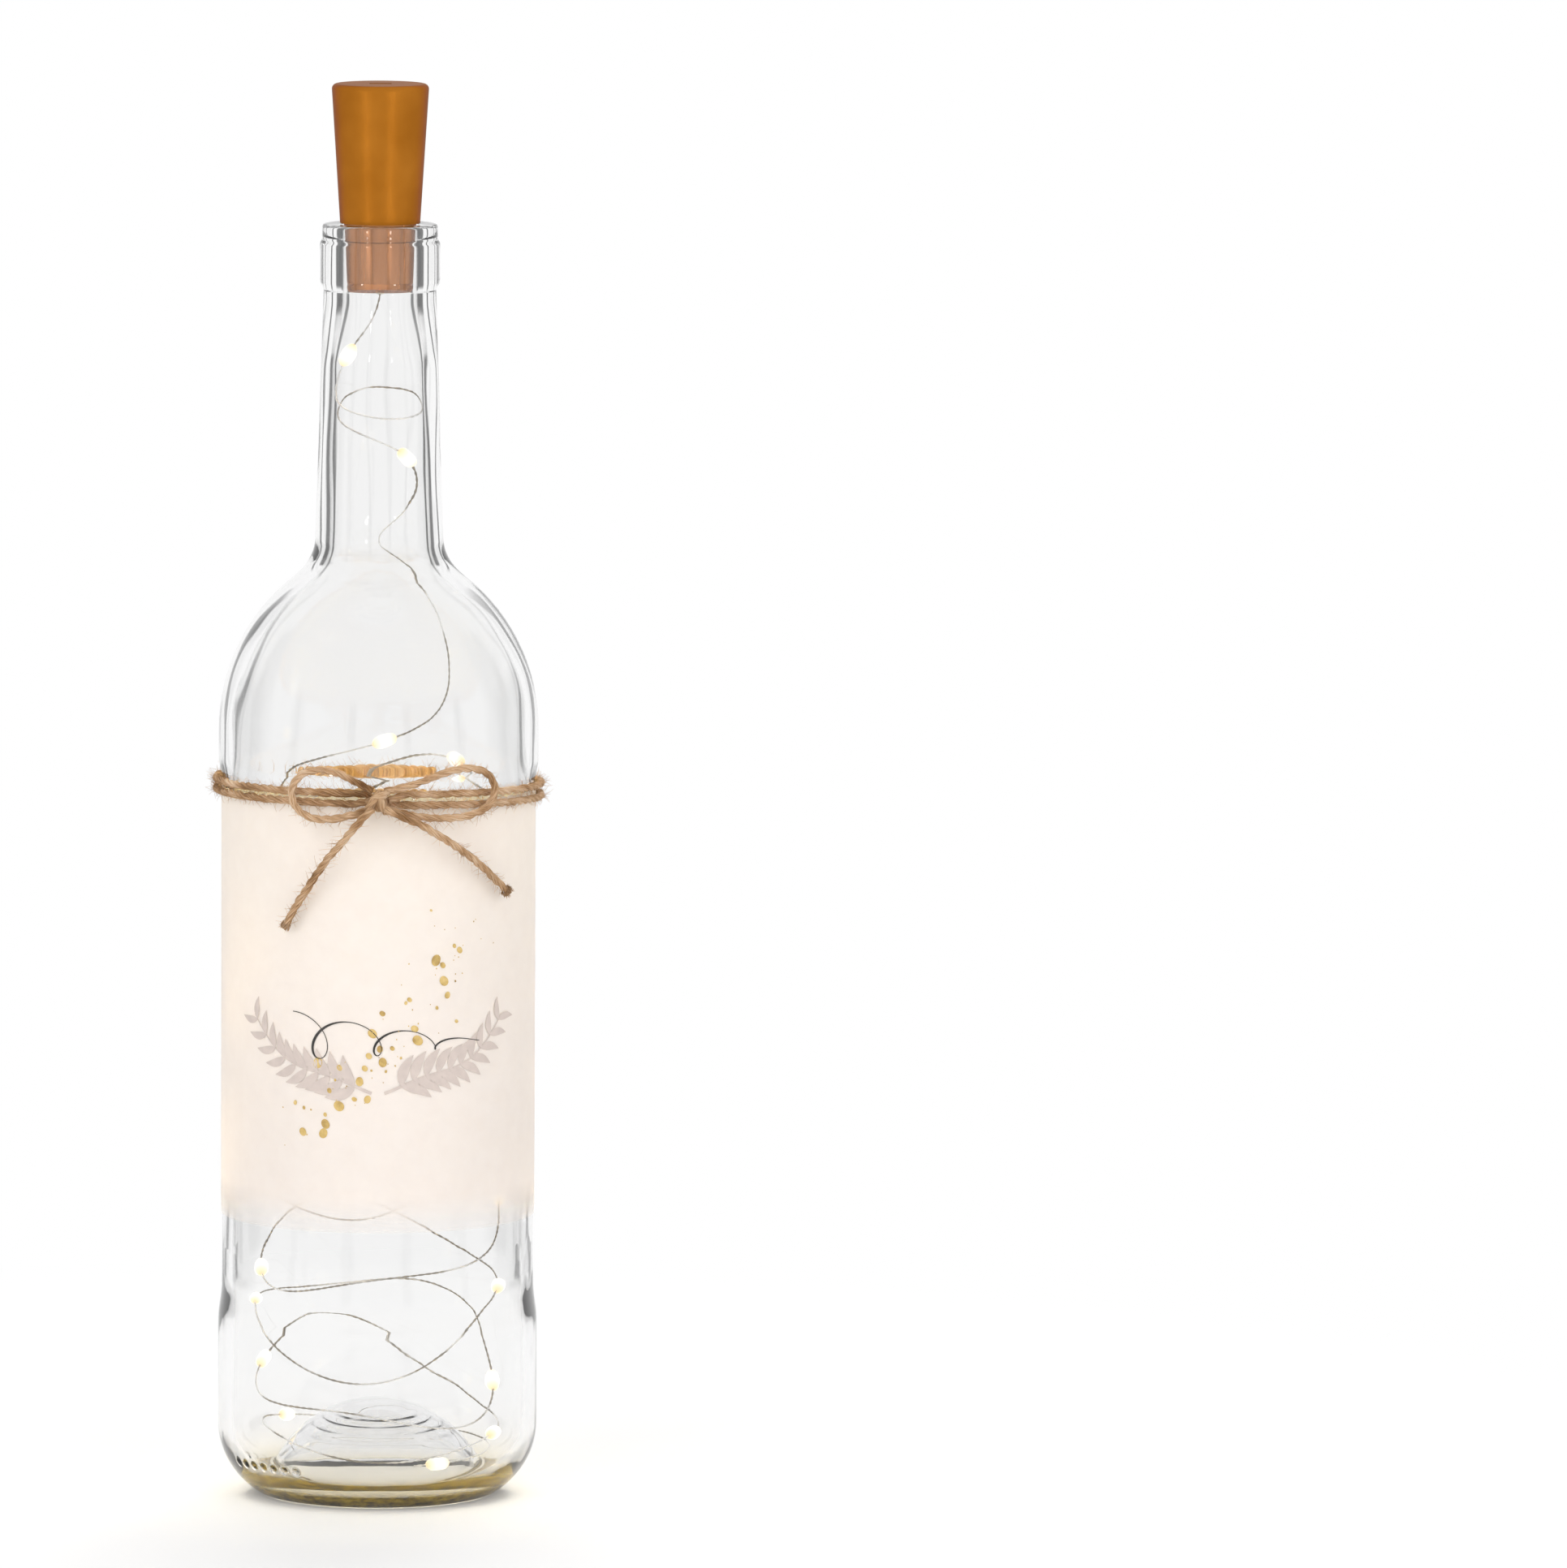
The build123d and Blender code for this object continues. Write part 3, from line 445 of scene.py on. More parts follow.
def moulding(name, dark, light, roughness):
    """Moulded plastic or resin with a fine-grained surface."""
    made, tree, shader, _ = material(name)
    mottle = object_noise(tree, 700.0)
    finish_with(
        tree, shader, Base_Color=ramp(tree, mottle, (0.3, dark), (0.7, light)),
        Roughness=remap(tree, mottle, low=roughness * 0.85, high=min(1.0, roughness * 1.15)),
        Normal=bump(tree, mottle, 0.00003, 0.6),
    )
    return made


def metal(name, dark, light, roughness, scale=900.0, stretch=(1.0, 1.0, 0.06), edges=(0.3, 0.7)):
    """Drawn or pressed metal with fine lines, or, if the edges are close, grey lengths and pale lengths that
    are a painted reflection.
    """
    made, tree, shader, _ = material(name)
    lines = object_noise(tree, scale, 4.0, stretch)
    finish_with(
        tree, shader, Base_Color=ramp(tree, lines, (edges[0], dark), (edges[1], light)), Metallic=1.0,
        Roughness=remap(tree, lines, low=roughness * 0.8, high=roughness * 1.25),
        Normal=bump(tree, lines, 0.00002, 0.5),
    )
    return made


def resin_material():
    """Lit drop of resin, pale in its middle and warmer at its ends, that lets its chip's light out."""
    made, tree, shader, output = material("lamp_resin")
    run = axes_of(tree, grain_place(tree))["X"]
    ends, necks, middle = (1.0, 0.74, 0.4), (1.0, 0.9, 0.66), (1.0, 0.975, 0.88)
    glow = ramp(
        tree, remap(tree, run, last=2 * LAMP_HALF_LENGTH * MM),
        (0.0, ends), (0.14, necks), (0.3, middle), (0.7, middle), (0.86, necks), (1.0, ends),
    )
    finish_with(
        tree, shader, Base_Color=(0.06, 0.05, 0.04, 1.0), Roughness=0.15, Emission_Color=glow,
        Emission_Strength=1.18,
    )
    show_without_shadow(tree, output, shader)
    return made


def chip_material():
    """Lit phosphor."""
    made, tree, shader, _ = material("lamp_chip")
    mottle = object_noise(tree, 800.0, 2.0)
    glow = ramp(tree, mottle, (0.35, (1.0, 0.78, 0.48)), (0.65, (1.0, 0.84, 0.58)))
    finish_with(
        tree, shader, Base_Color=(0.9, 0.8, 0.5, 1.0), Roughness=0.5, Emission_Color=glow,
        Emission_Strength=170.0,
    )
    return made


def ink(name, *shades):
    """Printed ink, a little uneven."""
    made, tree, shader, _ = material(name)
    stops = [(0.3 + 0.4 * i / (len(shades) - 1), shade) for i, shade in enumerate(shades)]
    finish_with(tree, shader, Base_Color=ramp(tree, object_noise(tree, 420.0), *stops), Roughness=0.5)
    return made


GLASS = glass_material()
HEEL_PAINTED_GLOW = heel_painted_glow_material()
FILM = film_material()
JUTE = jute_material("jute")
FUZZ = jute_material("jute_fibre", 1.15)
STOPPER = stopper_material()
# The wire's pale lengths are a painted reflection of its white surroundings; the grey lengths are its own
# colour.
WIRE_PAINTED_REFLECTION = metal(
    "light_wire", (0.4, 0.36, 0.3), (1.0, 0.99, 0.97), 0.34, 60.0, (1.0, 1.0, 1.0), (0.47, 0.56)
)
RESIN = resin_material()
CHIP = chip_material()
LEAF_INK = ink("leaf_ink", (0.54, 0.46, 0.42), (0.62, 0.53, 0.48))
GOLD_INK = ink("gold_ink", (0.38, 0.24, 0.07), (0.58, 0.4, 0.13), (0.7, 0.52, 0.22))
BLACK_INK = ink("black_ink", (0.016, 0.015, 0.014), (0.05, 0.045, 0.04))

# light wire: hung from the stopper's seal, round the neck, then in loose turns down to the floor
NECK_ROUTE = [
    (0, 0, 0), (0, -0.3, -2.6), (-2.4, -1.2, -8), (-5.8, -2.2, -12.2), (-8.2, -2.7, -17),
    (-10.2, -1.8, -22.2), (-9.7, -4.8, -26.6), (-5.8, -8.9, -28.7), (0, -10.5, -29.8), (5.8, -8.8, -29.9),
    (9.7, -4.2, -28.7), (10.4, 1.2, -27), (8.1, 6.8, -25.2), (3, 10, -24.2), (-3, 10, -24.2),
    (-7.9, 7, -25.4), (-10.4, 1.9, -27.7), (-9.7, -3.4, -30.8), (-5.2, -6.9, -33.4), (0.2, -7.4, -35.4),
    (5.2, -5.8, -38), (8.4, -2.4, -42.4), (9.2, 1.6, -47.8), (7.4, 5.2, -52.6), (4, 7.2, -55.4),
    (0.8, 7.6, -57.6), (-0.6, 7.6, -60.2), (0.6, 7.4, -62.8), (4, 7, -65.4), (8.6, 6.8, -68.8),
    (12.4, 6.6, -73.6), (15.2, 6.2, -79.8), (16.8, 4.8, -86.4), (17, 2, -92.2), (15.8, -2.4, -96.8),
    (13.4, -7.2, -100), (9.6, -11.6, -102),
]
COIL_TURNS, COIL_STEPS = 9.06, 218
COIL_RADIUS, COIL_GROWTH, COIL_SETTLE = 28.5, 0.433, 1.439
COIL_FOOT_RADIUS, COIL_FOOT_TURNS, COIL_FOOT_HEIGHT = 27.1, 1.4, 9.6
# size, rate for each turn and phase of the waves that the coil strays by
COIL_SWAY = ((1.4, 0.675, 0.0), (0.9, 2.619, 0.0))
COIL_TILT = ((11.08, 1.041, -0.596), (3.4, 2.473, 0.632))


def waves(turn, parts):
    return sum(size * sin(2 * pi * rate * turn + phase) for size, rate, phase in parts)


def coil_place(turn):
    """Point of the loose turns: widening at first, tilted and swaying, drawn in over the foot."""
    x, y, below = NECK_ROUTE[-1]
    start_radius, start_height = hypot(x, y), SEAL_END + below
    angle = atan2(x, -y) - 2 * pi * turn
    left = max(1 - turn / COIL_TURNS, 0.0)
    loose = ease(min(turn, (COIL_TURNS - turn) / 2))
    widening = (COIL_RADIUS - start_radius) * (1 - exp(-turn / COIL_GROWTH))
    drawn_in = ease((turn - COIL_TURNS) / COIL_FOOT_TURNS + 1)
    radius = start_radius + widening + (COIL_FOOT_RADIUS - COIL_RADIUS) * drawn_in
    radius += loose * waves(turn, COIL_SWAY)
    settled = COIL_FOOT_HEIGHT + (start_height - COIL_FOOT_HEIGHT) * left**COIL_SETTLE
    height = settled - loose * waves(turn, COIL_TILT)
    return radius * sin(angle), -radius * cos(angle), height


light_route = [(x, y, SEAL_END + z) for x, y, z in NECK_ROUTE]
light_route += [coil_place(COIL_TURNS * step / COIL_STEPS) for step in range(1, COIL_STEPS + 1)]
light_line = spline_points(light_route)


def twisted(sheet, line, plies, lay_radius, ply_radius, pitch, step, sides, uneven, seed):
    """Strands laid round a line, each straying and swelling a little if they are uneven."""
    points = evenly(line, step)
    around = frames_along(points)
    for ply in range(plies):
        strand, radii = [], []
        for i, (place, (_, side, cross)) in enumerate(zip(points, around)):
            run = i * step
            turn = 2 * pi * (run / pitch + ply / plies)
            stir = noise.noise(Vector((run / pitch * 1.7, seed + ply * 7.3, 0.5)))
            turn += uneven * stir
            off = lay_radius * (1 + 0.5 * uneven * noise.noise(Vector((run / pitch, seed + ply * 3.1, 8.5))))
            strand.append(place + (side * cos(turn) + cross * sin(turn)) * off)
            swell = noise.noise(Vector((run / pitch * 2.9, seed + ply * 5.7, 4.5)))
            radii.append(ply_radius * (1 + 0.45 * uneven * swell))
        sheet.tube(strand, radii, sides, shift=ply * 0.37 + seed)


wire_sheet = Sheet()
twisted(
    wire_sheet, light_line, plies=2, lay_radius=0.135 * MM, ply_radius=0.13 * MM, pitch=3.6 * MM,
    step=0.6 * MM, sides=6, uneven=0.2, seed=2.0,
)
light_wire = wire_sheet.object("light_wire", WIRE_PAINTED_REFLECTION)
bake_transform(light_wire)
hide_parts("light_wire_neck", "light_wire_body")


# lamps on the wire
LAMP_RINGS, LAMP_SIDES, LAMP_END_RADIUS = 16, 16, 0.33


def solid_centres(node):
    """Centres of the small solids of a node, from the top down."""
    groups = []
    for vertex in nodes[node].data.vertices:
        for group in groups:
            if (group[0] - vertex.co).length < LAMP_HALF_LENGTH * MM:
                group.append(vertex.co)
                break
        else:
            groups.append([vertex.co])
    boxes = [(Vector(map(min, *group)), Vector(map(max, *group))) for group in groups]
    return sorted(((low + high) / 2 for low, high in boxes), key=lambda place: -place.z)


def add_lamp(sheet, centre, seed):
    """A drop of resin round the wire, with the lit chip in it."""
    nearest = min(range(len(light_line)), key=lambda i: (light_line[i] - centre).length)
    before, after = light_line[max(nearest - 2, 0)], light_line[min(nearest + 2, len(light_line) - 1)]
    along = (after - before).normalized()
    middle = light_line[nearest]
    drop, radii = [], []
    for i in range(LAMP_RINGS + 1):
        share = -1 + 2 * i / LAMP_RINGS
        drop.append(middle + along * LAMP_HALF_LENGTH * MM * share)
        full = sqrt(max(1 - abs(share) ** 2.6, 0.0))
        lump = 0.1 * noise.noise(Vector((share * 1.5, seed * 3.7, 0.3)))
        radii.append(max(LAMP_RADIUS * full * (1 + lump), LAMP_END_RADIUS) * MM)
    sheet.tube(drop, radii, LAMP_SIDES)
    chip = [middle + along * CHIP_HALF_LENGTH * MM * share for share in (-1, -0.9, 0.9, 1)]
    chip_radii = (CHIP_END_RADIUS, CHIP_RADIUS, CHIP_RADIUS, CHIP_END_RADIUS)
    sheet.tube(chip, [radius * MM for radius in chip_radii], 8, kind=1)


body_lamps = Sheet()
for index, centre in enumerate(solid_centres("lamp_chips_body")):
    add_lamp(body_lamps, centre, index)
lamps = body_lamps.object("lamps_body", RESIN, CHIP)
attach(lamps, "bottle")
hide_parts("lamp_drops_body", "lamp_chips_body")
for index, centre in enumerate(solid_centres("lamp_chips_neck")):
    one = Sheet()
    add_lamp(one, centre, 30 + index)
    lamp = one.object(f"lamp_neck_{index + 1}", RESIN, CHIP)
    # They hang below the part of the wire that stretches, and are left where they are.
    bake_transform(lamp)
    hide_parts("lamp_drops_neck", "lamp_chips_neck")


# twine: two turns, a knot and a bow; angles in degrees, heights and widths in millimetres
WRAP_STATIONS, WRAP_END = 240, 3
END_LIFT, END_LIFT_SPAN, END_SPREAD_SPAN = 2.85, 8.0, 6.0
TURNS_APART, TURNS_APART_RIGHT, TURNS_CROSSING = 2.36, 0.5, 14.0
HANG_BACK, HANG_RIGHT = 1.1, 0.65
TWINE_LAY = {"plies": 3, "lay_radius": 0.44 * MM, "ply_radius": 0.5 * MM, "sides": 9}
FIBRES_PER_METRE, FIBRE_REACH, FRAYED_FIBRES = 4200, 2.6, 130


def wrap_place(turn):
    """Point of the twine's turns; turn 0, 1 and 2 are at the knot."""
    from_end = 360 * min(turn, 2 - turn)
    lift = END_LIFT * (1 - ease((from_end - WRAP_END) / END_LIFT_SPAN))
    spread = ease((from_end - WRAP_END) / END_SPREAD_SPAN)
    angle = 2 * pi * turn
    apart = TURNS_APART + TURNS_APART_RIGHT * (1 + sin(angle)) ** 2 / 4
    up = apart * (0.5 - ease(360 * (turn - 1) / TURNS_CROSSING + 0.5)) * spread
    hang = HANG_BACK * (1 - cos(angle)) + HANG_RIGHT * sin(angle)
    outwards = TURN_RADIUS + lift
    return outwards * sin(angle), -outwards * cos(angle), TWINE_HEIGHT + up - hang


def front_place(sideways, standoff, up):
    """Point of the bow: sideways, outwards and upwards from the front of the turns."""
    outwards = TURN_RADIUS + standoff
    return sideways, -sqrt(outwards**2 - sideways**2), TWINE_HEIGHT + up


wrap_route = [
    wrap_place(WRAP_END / 360 + (2 - 2 * WRAP_END / 360) * step / WRAP_STATIONS)
    for step in range(WRAP_STATIONS + 1)
]
LEFT_LOOP = [
    (-1.4, 3.2, 2.4), (-4.4, 3.3, 3.8), (-7.9, 3.2, 5.8), (-11.7, 2.9, 7), (-15.5, 2.7, 6.9),
    (-18.6, 2.6, 5.4), (-20.3, 2.6, 2.7), (-20.3, 2.8, -0.4), (-18.6, 2.9, -3), (-15.5, 3, -4.5),
    (-11.7, 3.2, -4.6), (-7.9, 3.4, -3.9), (-4.4, 3.3, -2.8), (-1.4, 3.2, -1.7),
]
RIGHT_LOOP = [
    (1.4, 3.2, 2.3), (5, 3.4, 2.9), (9.3, 3.4, 4.1), (13.8, 3.2, 5.8), (18, 3, 7),
    (22, 2.9, 7.1), (25.3, 2.8, 5.7), (27.1, 2.8, 3), (27.1, 2.9, 0), (25.3, 3, -2.5),
    (22, 3.2, -3.9), (17.8, 3.2, -4.4), (13.1, 3.2, -4.3), (8.7, 3.3, -3.7), (4.8, 3.3, -2.7),
    (1.4, 3.2, -1.8),
]
LEFT_TAIL = [
    (-1.4, 6.2, -1.5), (-4.2, 6.6, -4), (-7.9, 6.2, -8.9), (-12.2, 4.4, -13.9), (-15.7, 2.6, -19.6),
    (-19.2, 1.6, -25.3), (-22, 1.6, -30.8),
]
RIGHT_TAIL = [
    (1.4, 6.2, -1.5), (4.6, 6.8, -3), (9.6, 6.6, -5.1), (15, 5.2, -8.7), (20.6, 3.4, -12.9),
    (26, 2.2, -18.1), (30.4, 1.8, -23.4),
]
knot_centre = Vector((0, -TURN_RADIUS - KNOT_STANDOFF, TWINE_HEIGHT)) * MM
chance = random.Random(11)
fuzz_sheet = Sheet()


def add_fuzz(line):
    """Loose fibres that lift off a twine."""
    points = evenly(line, 1.0 * MM)
    around = frames_along(points)
    for _ in range(round(line_length(line) * FIBRES_PER_METRE)):
        i = chance.randrange(len(points))
        along, side, cross = around[i]
        turn = chance.uniform(0, 2 * pi)
        out = side * cos(turn) + cross * sin(turn)
        lean = along * chance.choice((-1, 1)) * chance.uniform(0.6, 2.2)
        bend = (side * cos(turn + 1.6) + cross * sin(turn + 1.6)) * chance.uniform(-0.9, 0.9)
        long = FIBRE_REACH * MM * chance.uniform(0.35, 1.0) ** 1.6
        fibre, radii = [], []
        for k in range(5):
            share = k / 4
            lift = 0.72 + share * long / MM * 0.62
            fibre.append(
                points[i] + out * lift * MM * 1.25
                + lean * share * long * 0.45 + bend * share**2 * long * 0.6
            )
            radii.append((0.05 - 0.03 * share) * MM)
        fuzz_sheet.tube(fibre, radii, 3, shift=chance.uniform(0, 9), capped=False)


def add_twine(name, route, far_end, seed):
    """One length of twine from the knot, with its loose fibres."""
    line = spline_points(route)
    sheet = Sheet()
    twisted(sheet, line, pitch=8.0 * MM, step=0.45 * MM, uneven=0.55, seed=seed, **TWINE_LAY)
    piece = sheet.object(name, JUTE)
    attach(piece, "bottle")
    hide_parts(name)
    add_fuzz(line)
    if far_end == "bare":
        fray(line)


def fray(line):
    """Cut fibres at a twine's loose end."""
    along = (line[-1] - line[-4]).normalized()
    side = along.orthogonal()
    cross = along.cross(side)
    for _ in range(FRAYED_FIBRES):
        turn, out = chance.uniform(0, 2 * pi), chance.uniform(0.1, 0.9) * MM
        spread = side * cos(turn) + cross * sin(turn)
        long = chance.uniform(0.5, 1.8) * MM
        start = line[-1] - along * 1.5 * MM + spread * out
        fibre = [start + (along + spread * chance.uniform(0, 0.3)) * long * k / 3 for k in range(4)]
        radii = [0.09 * MM, 0.08 * MM, 0.07 * MM, 0.04 * MM]
        fuzz_sheet.tube(fibre, radii, 3, shift=out * 900, capped=False)


add_twine("twine_wrap", wrap_route, "knot", 1.0)
for name, places, far_end, seed in (
    ("bow_loop_left", LEFT_LOOP, "knot", 2.0), ("bow_loop_right", RIGHT_LOOP, "knot", 3.0),
    ("bow_tail_left", LEFT_TAIL, "bare", 4.0), ("bow_tail_right", RIGHT_TAIL, "bare", 5.0),
):
    add_twine(name, [front_place(*place) for place in places], far_end, seed)

knot_sheet = Sheet()
for tilt, shift, up, seed in ((0.62, -1.0, 0.1, 6.0), (-0.35, 0.95, -0.2, 7.0), (1.15, -0.2, 0.9, 8.0)):
    ring = []
    for step in range(49):
        turn = 2 * pi * step / 48
        across = Vector((sin(tilt) * cos(turn) * 2.2, sin(turn) * 1.8, cos(tilt) * cos(turn) * 2.35))
        ring.append(knot_centre + (across + Vector((shift + 0.4 * sin(turn), 0, up))) * MM)
    twisted(knot_sheet, ring, pitch=7.0 * MM, step=0.4 * MM, uneven=0.5, seed=seed, **TWINE_LAY)
core_line = [knot_centre + Vector((0, 0, z)) * MM for z in (-2.4, -2.0, -1.1, 0, 1.1, 2.0, 2.4)]
core_radii = [radius * MM for radius in (0.5, 1.2, 1.6, 1.7, 1.6, 1.2, 0.5)]
knot_sheet.tube(core_line, core_radii, 12)
knot = knot_sheet.object("twine_knot_wraps", JUTE)
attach(knot, "bottle")
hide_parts("twine_knot")
fuzz = fuzz_sheet.object("twine_fibres", FUZZ)
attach(fuzz, "bottle")


# bottle
PROFILE_STEP = 0.35
OUT, UP = (1, 0), (0, 1)
BOTTLE_SIDES, DOT_SIDES, DOT_MARGIN = 225, 80, 0.06
PUNT_RIPPLE, PUNT_RIPPLE_SPAN = 0.07, 2.3
OUTER_WAVE, INNER_WAVE, NECK_WAVE = 0.03, 0.12, 0.22


def arc(centre, radius, first, last, steps):
    """Points (radius, height) of an arc that runs from one heading to another."""
    start, end = (degrees(atan2(up, out)) for out, up in (first, last))
    turns = [radians(start + (end - start) * i / steps) for i in range(steps + 1)]
    return [(centre[0] + radius * cos(turn), centre[1] + radius * sin(turn)) for turn in turns]


def bottle_outline():
    """The wall's outline from the middle of the punt, up the outside and down the inside."""
    outline = arc(PUNT_CENTRE, PUNT_RADIUS, UP, (25.0, 8.36), 24)
    outline += arc(HEEL_CENTRE, HEEL_RADIUS, (9.45, -16.6), OUT, 24)
    outline += [(CONTACT_RADIUS, PANEL_BOTTOM), (PANEL_RADIUS, PANEL_BOTTOM + PANEL_RAMP)]
    outline += [(PANEL_RADIUS, PANEL_TOP), (CONTACT_RADIUS, PANEL_TOP + PANEL_RAMP)]
    outline += arc(SHOULDER_CENTRE, SHOULDER_RADIUS, OUT, (23.55, 39.51), 40)
    outline += [RING_FOOT, (RING_RADIUS, RING_BOTTOM), (RING_RADIUS, RING_TOP), (LIP_RADIUS, RING_TOP)]
    outline += [(LIP_RADIUS, BOTTLE_HEIGHT), (BORE_RADIUS, BOTTLE_HEIGHT), (BORE_RADIUS, BORE_BOTTOM), THROAT]
    outline += arc(SHOULDER_CENTRE, INNER_SHOULDER_RADIUS, (20.55, 37.37), OUT, 40)
    outline += arc(INNER_HEEL_CENTRE, INNER_HEEL_RADIUS, OUT, (5.485, -12.1), 20)
    outline += arc(INNER_PUNT_CENTRE, INNER_PUNT_RADIUS, (25.0, 9.107), UP, 24)
    return [Vector((radius, height, 0)) for radius, height in outline]


def rounding(height, inside):
    """How far the outline is rounded: most at the panel's steps, the neck's foot and the throat."""
    if not inside and abs(height - 45.2) < 11:
        return 2.4
    if not inside and abs(height - 171.2) < 4:
        return 1.7
    if 206 < height < 236:
        return 0.5 + 3.4 * ease(1 - abs(height - 220) / 15)
    if inside and 262 < height < 287:
        return 0.5 + 1.6 * ease(1 - abs(height - 274) / 13)
    return 0.5


def softened(even):
    """Points (radius, height, inside) of an even outline, averaged and mirrored across the axis."""
    top = max(range(len(even)), key=lambda i: even[i].y)
    soft = []
    for i, place in enumerate(even):
        spread = rounding(place.y, i > top)
        reach = ceil(3 * spread / PROFILE_STEP)
        total, mean = 0.0, Vector((0, 0, 0))
        for k in range(-reach, reach + 1):
            j = i + k
            folded = abs(j) if j < len(even) else 2 * len(even) - 2 - j
            other = even[folded].copy()
            if folded != j:
                other.x = -other.x
            weight = exp(-0.5 * (k * PROFILE_STEP / spread) ** 2)
            total += weight
            mean += other * weight
        soft.append((mean.x / total, mean.y / total, i > top))
    return soft


def thinned(soft):
    """The points that the bends need, with more of them at the punt's rings and the dots."""
    kept, last = [soft[0]], 0
    for i in range(1, len(soft) - 1):
        here, before, after = soft[i], soft[i - 1], soft[i + 1]
        start = soft[last]
        far = hypot(here[0] - start[0], here[1] - start[1])
        first = atan2(soft[last + 1][1] - start[1], soft[last + 1][0] - start[0])
        now = atan2(after[1] - before[1], after[0] - before[0])
        swing = abs((now - first + pi) % (2 * pi) - pi)
        ringed = not here[2] and here[1] < 20 and 7 < here[0] < 18 and far > 0.42
        dotted = not here[2] and abs(here[1] - DOT_HEIGHT) < 2 and here[0] > 30 and far > 0.34
        if far > 4.0 or swing > radians(3.0) or ringed or dotted:
            kept.append(here)
            last = i
    return kept + [soft[-1]]


def wall_wave(radius, height, inside, turn):
    """How far the blown wall strays from a true round, in millimetres."""
    lie = Vector((cos(turn) * 1.7, sin(turn) * 1.7, height / 24.0))
    if not inside:
        return OUTER_WAVE * noise.noise(lie * 1.3)
    if height > 279:
        return 0.0
    amount = INNER_WAVE
    if height > 176:
        amount += NECK_WAVE * ease((height - 176) / 20)
    if height > 262:
        amount *= ease((279 - height) / 17)
    return amount * noise.noise(lie + Vector((3.1, 0.4, 5.0))) * ease(radius / 8)


def dot_rise(height, turn):
    """How far the raised dots of the heel stand out, in millimetres."""
    rise = 0.0
    for middle in DOT_TURNS:
        away = hypot((turn - middle) * 35.5, (height - DOT_HEIGHT) * 1.15)
        rise += DOT_RISE * ease((DOT_RADIUS - away) / DOT_EDGE)
    return rise


def make_bottle():
    """The glass, with rings in its punt and more faces where the dots stand out."""
    sheet = Sheet()
    coarse = [radians(360 / BOTTLE_SIDES * k) for k in range(BOTTLE_SIDES)]
    dotted = DOT_TURNS[-1] - DOT_TURNS[0] + 2 * DOT_MARGIN
    fine = [DOT_TURNS[0] - DOT_MARGIN + dotted * k / DOT_SIDES for k in range(DOT_SIDES + 1)]
    turns = sorted([turn for turn in coarse if not fine[0] - 0.01 < turn < fine[-1] + 0.01] + fine)
    segments = len(turns)
    rings = []
    for radius, height, inside in thinned(softened(evenly(bottle_outline(), PROFILE_STEP))):
        if radius < 0.05:
            rings.append([sheet.add(Vector((0, 0, height)) * MM)])
            continue
        if not inside and radius < 18 and height < 20:
            ripple = PUNT_RIPPLE * sin(2 * pi * radius / PUNT_RIPPLE_SPAN)
            height += ripple * ease((radius - 7) / 2) * ease((18 - radius) / 3)
        ring = []
        for turn in turns:
            out = radius + wall_wave(radius, height, inside, turn)
            if not inside and radius > 30 and height < 14:
                out += dot_rise(height, turn)
            ring.append(sheet.add(Vector((out * cos(turn), out * sin(turn), height)) * MM))
        rings.append(ring)
    for first, last in zip(rings, rings[1:]):
        for k in range(segments):
            m = (k + 1) % segments
            if len(first) == 1:
                sheet.face(first[0], last[m], last[k])
            elif len(last) == 1:
                sheet.face(first[k], first[m], last[0])
            else:
                sheet.face(first[k], first[m], last[m], last[k])
    piece = sheet.object("bottle_glass", GLASS)
    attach(piece, "bottle")
    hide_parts("bottle")


make_bottle()


def make_heel_painted_glow():
    """A layer of painted glow, gold streaks just under the outside of the heel, thinning out towards the
    back.
    """
    sheet = Sheet()
    segments, rows = 120, 8
    rings = []
    for j in range(rows + 1):
        ring = []
        for k in range(segments + 1):
            side = 2 * k / segments - 1
            turn = radians(105) * side
            thin = ease((abs(side) - 0.7) / 0.3)
            lean = radians(-62 + (23 - 18 * thin) * j / rows)
            radius = HEEL_CENTRE[0] + HEEL_LAYER_RADIUS * cos(lean)
            height = HEEL_CENTRE[1] + HEEL_LAYER_RADIUS * sin(lean)
            place = Vector((radius * sin(turn), -radius * cos(turn), height)) * MM
            ring.append(sheet.add(place, (j / rows, 4 * cos(turn), 4 * sin(turn))))
        rings.append(ring)
    sheet.skin(rings)
    piece = sheet.object("bottle_heel_painted_glow", HEEL_PAINTED_GLOW)
    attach(piece, "bottle")


make_heel_painted_glow()


# label film and its print
def make_film():
    """The film round the panel, open at its seam at the back."""
    sheet = Sheet()
    columns, rows = 260, 44
    half_seam = FILM_SEAM / 2 / FILM_RADIUS
    grid = []
    for i in range(columns + 1):
        turn = half_seam + (2 * pi - 2 * half_seam) * i / columns
        column = []
        for j in range(rows + 1):
            height = FILM_BOTTOM + (FILM_TOP - FILM_BOTTOM) * j / rows
            lie = Vector((sin(turn) * 3, cos(turn) * 3, height / 12))
            out = FILM_RADIUS + 0.06 * noise.noise(lie)
            column.append(sheet.add(Vector((out * sin(turn), out * cos(turn), height)) * MM))
        grid.append(column)
    sheet.skin(grid)
    piece = sheet.object("label_film_sheet", FILM)
    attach(piece, "bottle")
    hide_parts("label_film")


make_film()


STEM_STEPS, LEAF_STEPS, LEAF_LENGTH, LEAF_WIDTH = 32, 10, 8.2, 2.7
FLOURISH_STEPS, FLOURISH_LOOPS = 240, 3.25
SPLASHES, SPLASH_SIDES = 90, 16


def print_point(along, height):
    """Place on the front of the film, along it from its middle and up from the bottle's foot."""
    turn = along / PRINT_RADIUS
    return Vector((PRINT_RADIUS * sin(turn), -PRINT_RADIUS * cos(turn), height)) * MM


